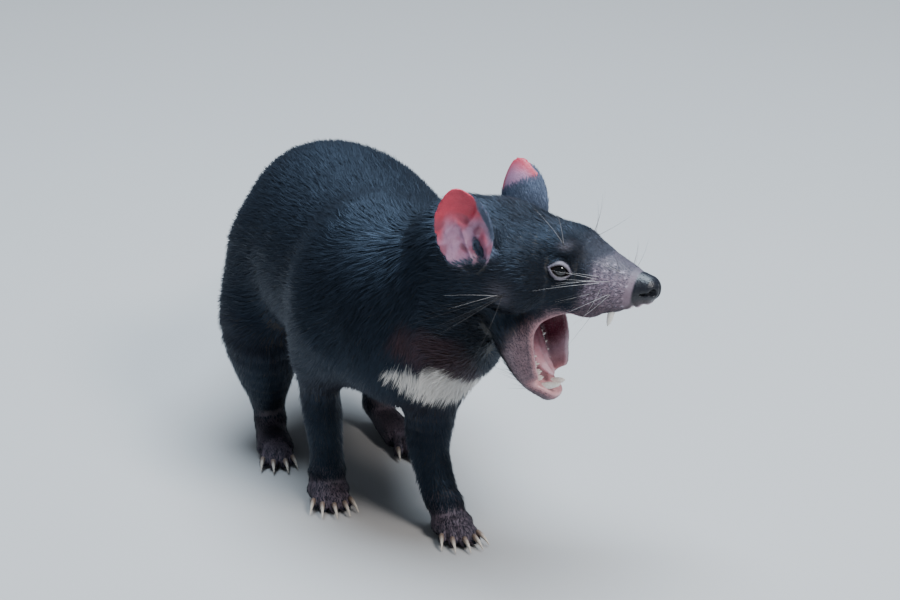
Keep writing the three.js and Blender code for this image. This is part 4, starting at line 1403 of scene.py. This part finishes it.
def skin_finish():
    f = Finish("skin", Specular_IOR_Level=0.5)
    colour = f.paint("marking")
    furred, rough = f.mark("furred"), f.mark("rough")
    blotch = f.noise(0.006, 4).between(0.3, 0.75)
    fine = f.noise(0.0012, 2).between(0.35, 0.7)
    bare = 1 - furred
    darker = f.mix(0.55, colour, (0.35, 0.22, 0.26), "MULTIPLY")
    mottled = f.mix((1 - blotch) * bare * 0.6, colour, darker)
    hairs = f.noise(0.0006, 2, at=f.place((1.0, 1.0, 0.35))).between(0.55, 0.68)
    haired = f.mix(hairs * bare * f.mark("hairy") * 0.45, mottled, (0.045, 0.033, 0.042))
    f.use(Base_Color=haired, Roughness=rough + (fine - 0.5) * 0.10)
    grain = f.cells(0.0011) * bare * 0.6 + f.noise(0.0016, 3) * 0.8 + hairs * furred
    f.relief(grain, 0.00022)
    return f.material


def fur_finish():
    f = Finish("fur", Specular_IOR_Level=0.48, Specular_Tint=(0.47, 0.68, 1.0), Sheen_Weight=0.06,
               Sheen_Roughness=0.4, Sheen_Tint=(0.5, 0.68, 1.0))
    colour = f.paint("marking")
    chance, along = f.mark("chance"), f.mark("along")
    patch = f.noise(0.035, 3).between(0.35, 0.7)
    lighter = f.mix(0.5, colour, (0.011, 0.012, 0.0165), "LIGHTEN")
    varied = f.mix(chance.between(0.6, 1.0) * 0.5 + patch * 0.2, colour, lighter)
    rooted = f.mix((1 - along) * 0.55, varied, f.mix(1.0, varied, (0.30, 0.28, 0.30), "MULTIPLY"))
    f.use(Base_Color=rooted, Roughness=0.44 + chance * 0.16)
    strands = f.noise(0.0007, 2, at=f.place((1.0, 0.22, 0.6)))
    f.relief(strands, 0.00018)
    return f.material


def eye_finish():
    f = Finish("eye", Coat_Weight=0.7, Coat_Roughness=0.02, Specular_IOR_Level=0.35)
    ahead = f.mark("ahead")
    iris = ahead.between(0.62, 0.68)
    pupil = ahead.between(0.885, 0.90)
    streak = f.noise(0.0007, 3).between(0.3, 0.75)
    white = f.mix(streak, (0.055, 0.035, 0.035), (0.10, 0.06, 0.055))
    brown = f.mix(streak, (0.004, 0.004, 0.006), (0.012, 0.010, 0.011))
    colour = f.mix(iris, white, brown)
    f.use(Base_Color=f.mix(pupil, colour, (0.002, 0.002, 0.003)), Roughness=0.12)
    return f.material


def claw_finish():
    f = Finish("claw", Specular_IOR_Level=0.5, Coat_Weight=0.15, Coat_Roughness=0.3)
    along = f.mark("along")
    streak = f.noise(0.0009, 3, at=f.place((1, 1, 0.4))).between(0.35, 0.7)
    root = f.mix(streak, (0.20, 0.13, 0.10), (0.33, 0.25, 0.20))
    tip = f.mix(streak, (0.62, 0.54, 0.45), (0.74, 0.68, 0.60))
    f.use(Base_Color=f.mix(along.between(0.15, 0.75), root, tip), Roughness=0.34 + streak * 0.15)
    f.relief(streak, 0.0001)
    return f.material


def tooth_finish():
    f = Finish("tooth", Specular_IOR_Level=0.55, Coat_Weight=0.5, Coat_Roughness=0.12)
    stain = f.noise(0.003, 3).between(0.4, 0.7)
    f.use(Base_Color=f.mix(stain, (0.80, 0.77, 0.70), (0.88, 0.86, 0.82)), Roughness=0.25 + stain * 0.1)
    f.relief(f.noise(0.0012, 2), 0.00008)
    return f.material


def tongue_finish():
    f = Finish("tongue", Specular_IOR_Level=0.5, Coat_Weight=0.45, Coat_Roughness=0.15)
    blotch = f.noise(0.004, 3).between(0.35, 0.7)
    near = f.mix(blotch, (0.66, 0.32, 0.37), (0.76, 0.46, 0.52))
    # Dark maroon over the tongue's back towards the throat is painted shade; the pink front is the tongue's
    # own colour.
    colour = f.mix(f.mark("along").between(0.35, 0.90), (0.20, 0.045, 0.07), near)
    f.use(Base_Color=colour, Roughness=0.32 + blotch * 0.12)
    f.relief(f.cells(0.0008), 0.00025)
    return f.material


def whisker_finish():
    f = Finish("whisker", Specular_IOR_Level=0.5)
    chance = f.mark("chance")
    colour = f.mix(chance.between(0.45, 0.6), (0.02, 0.018, 0.02), (0.42, 0.40, 0.40))
    f.use(Base_Color=colour, Roughness=0.35 + chance * 0.05)
    return f.material


# The setting: a pale floor, soft light from above and a camera as the photo has it.
def make_setting():
    floor_mesh = bpy.data.meshes.new("floor")
    reach = 6.0
    corners = [(-reach, -reach, 0), (reach, -reach, 0), (reach, reach, 0), (-reach, reach, 0)]
    floor_mesh.from_pydata(corners, [], [(0, 1, 2, 3)])
    floor = bpy.data.objects.new("floor", floor_mesh)
    bpy.context.scene.collection.objects.link(floor)
    f = Finish("floor", Specular_IOR_Level=0.2)
    f.use(Base_Color=f.mix(f.noise(0.4, 2), (0.47, 0.46, 0.45), (0.49, 0.48, 0.47)), Roughness=0.85)
    floor_mesh.materials.append(f.material)
    world = bpy.data.worlds.new("studio")
    world.use_nodes = True
    world.node_tree.nodes["Background"].inputs[0].default_value = (0.74, 0.85, 1.0, 1)
    world.node_tree.nodes["Background"].inputs[1].default_value = 0.18
    bpy.context.scene.world = world
    lamps = [
        # name, place in metres, what it looks at, size, watts, colour
        ("sky", (0.1, 0.1, 2.4), (0, 0, 0.1), 2.0, 145, (0.74, 0.87, 1.0)),
        ("key", (0.7, -1.9, 2.0), (0.05, -0.2, 0.16), 0.8, 50, (1.0, 0.97, 0.95)),
    ]
    for name, at, target, size, watts, colour in lamps:
        lamp = bpy.data.lights.new(name, "AREA")
        lamp.shape = "DISK"
        lamp.size = size
        lamp.energy = watts
        lamp.color = colour
        thing = bpy.data.objects.new(name, lamp)
        thing.location = at
        thing.rotation_euler = (Vector(target) - Vector(at)).to_track_quat("-Z", "Y").to_euler()
        bpy.context.scene.collection.objects.link(thing)


def make_camera():
    azimuth, elevation, distance = math.radians(-17), math.radians(19.5), 3.0
    target = Vector(SHIFT + (57, 41, 153)) * MM
    back = Vector((math.sin(azimuth) * math.cos(elevation), -math.cos(azimuth) * math.cos(elevation),
                   math.sin(elevation)))
    right = Vector((math.cos(azimuth), math.sin(azimuth), 0))
    up = back.cross(right)
    data = bpy.data.cameras.new("camera")
    data.lens = 165.6
    data.sensor_width = 36
    camera = bpy.data.objects.new("camera", data)
    camera.matrix_world = Matrix((
        (right.x, up.x, back.x, target.x + back.x * distance),
        (right.y, up.y, back.y, target.y + back.y * distance),
        (right.z, up.z, back.z, target.z + back.z * distance),
        (0, 0, 0, 1),
    ))
    bpy.context.scene.collection.objects.link(camera)
    bpy.context.scene.camera = camera


FLESH_NODES = [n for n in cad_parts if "claw" not in n and not n.startswith("eye_") and n != "tongue"]

make_camera()
make_setting()
skin, skin_points = make_skin(skin_finish())
colour, rough, furred = skin_marks(skin_points)
cheek = bare_cheek(HEAD.local(skin_points)) * (headness(skin_points) > 0.3)
hairy = np.maximum(cheek, foot_skin(skin_points))
add_marks(skin, marking=colour, rough=rough, furred=furred, hairy=hairy * (rough > 0.4))
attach(skin, "root")
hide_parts(*FLESH_NODES)
unwrap(skin)
make_coat(skin, skin_points, fur_finish())
make_teeth(tooth_finish())
make_claws(claw_finish())
make_tongue(tongue_finish())
make_eyes(eye_finish())
make_whiskers(whisker_finish())
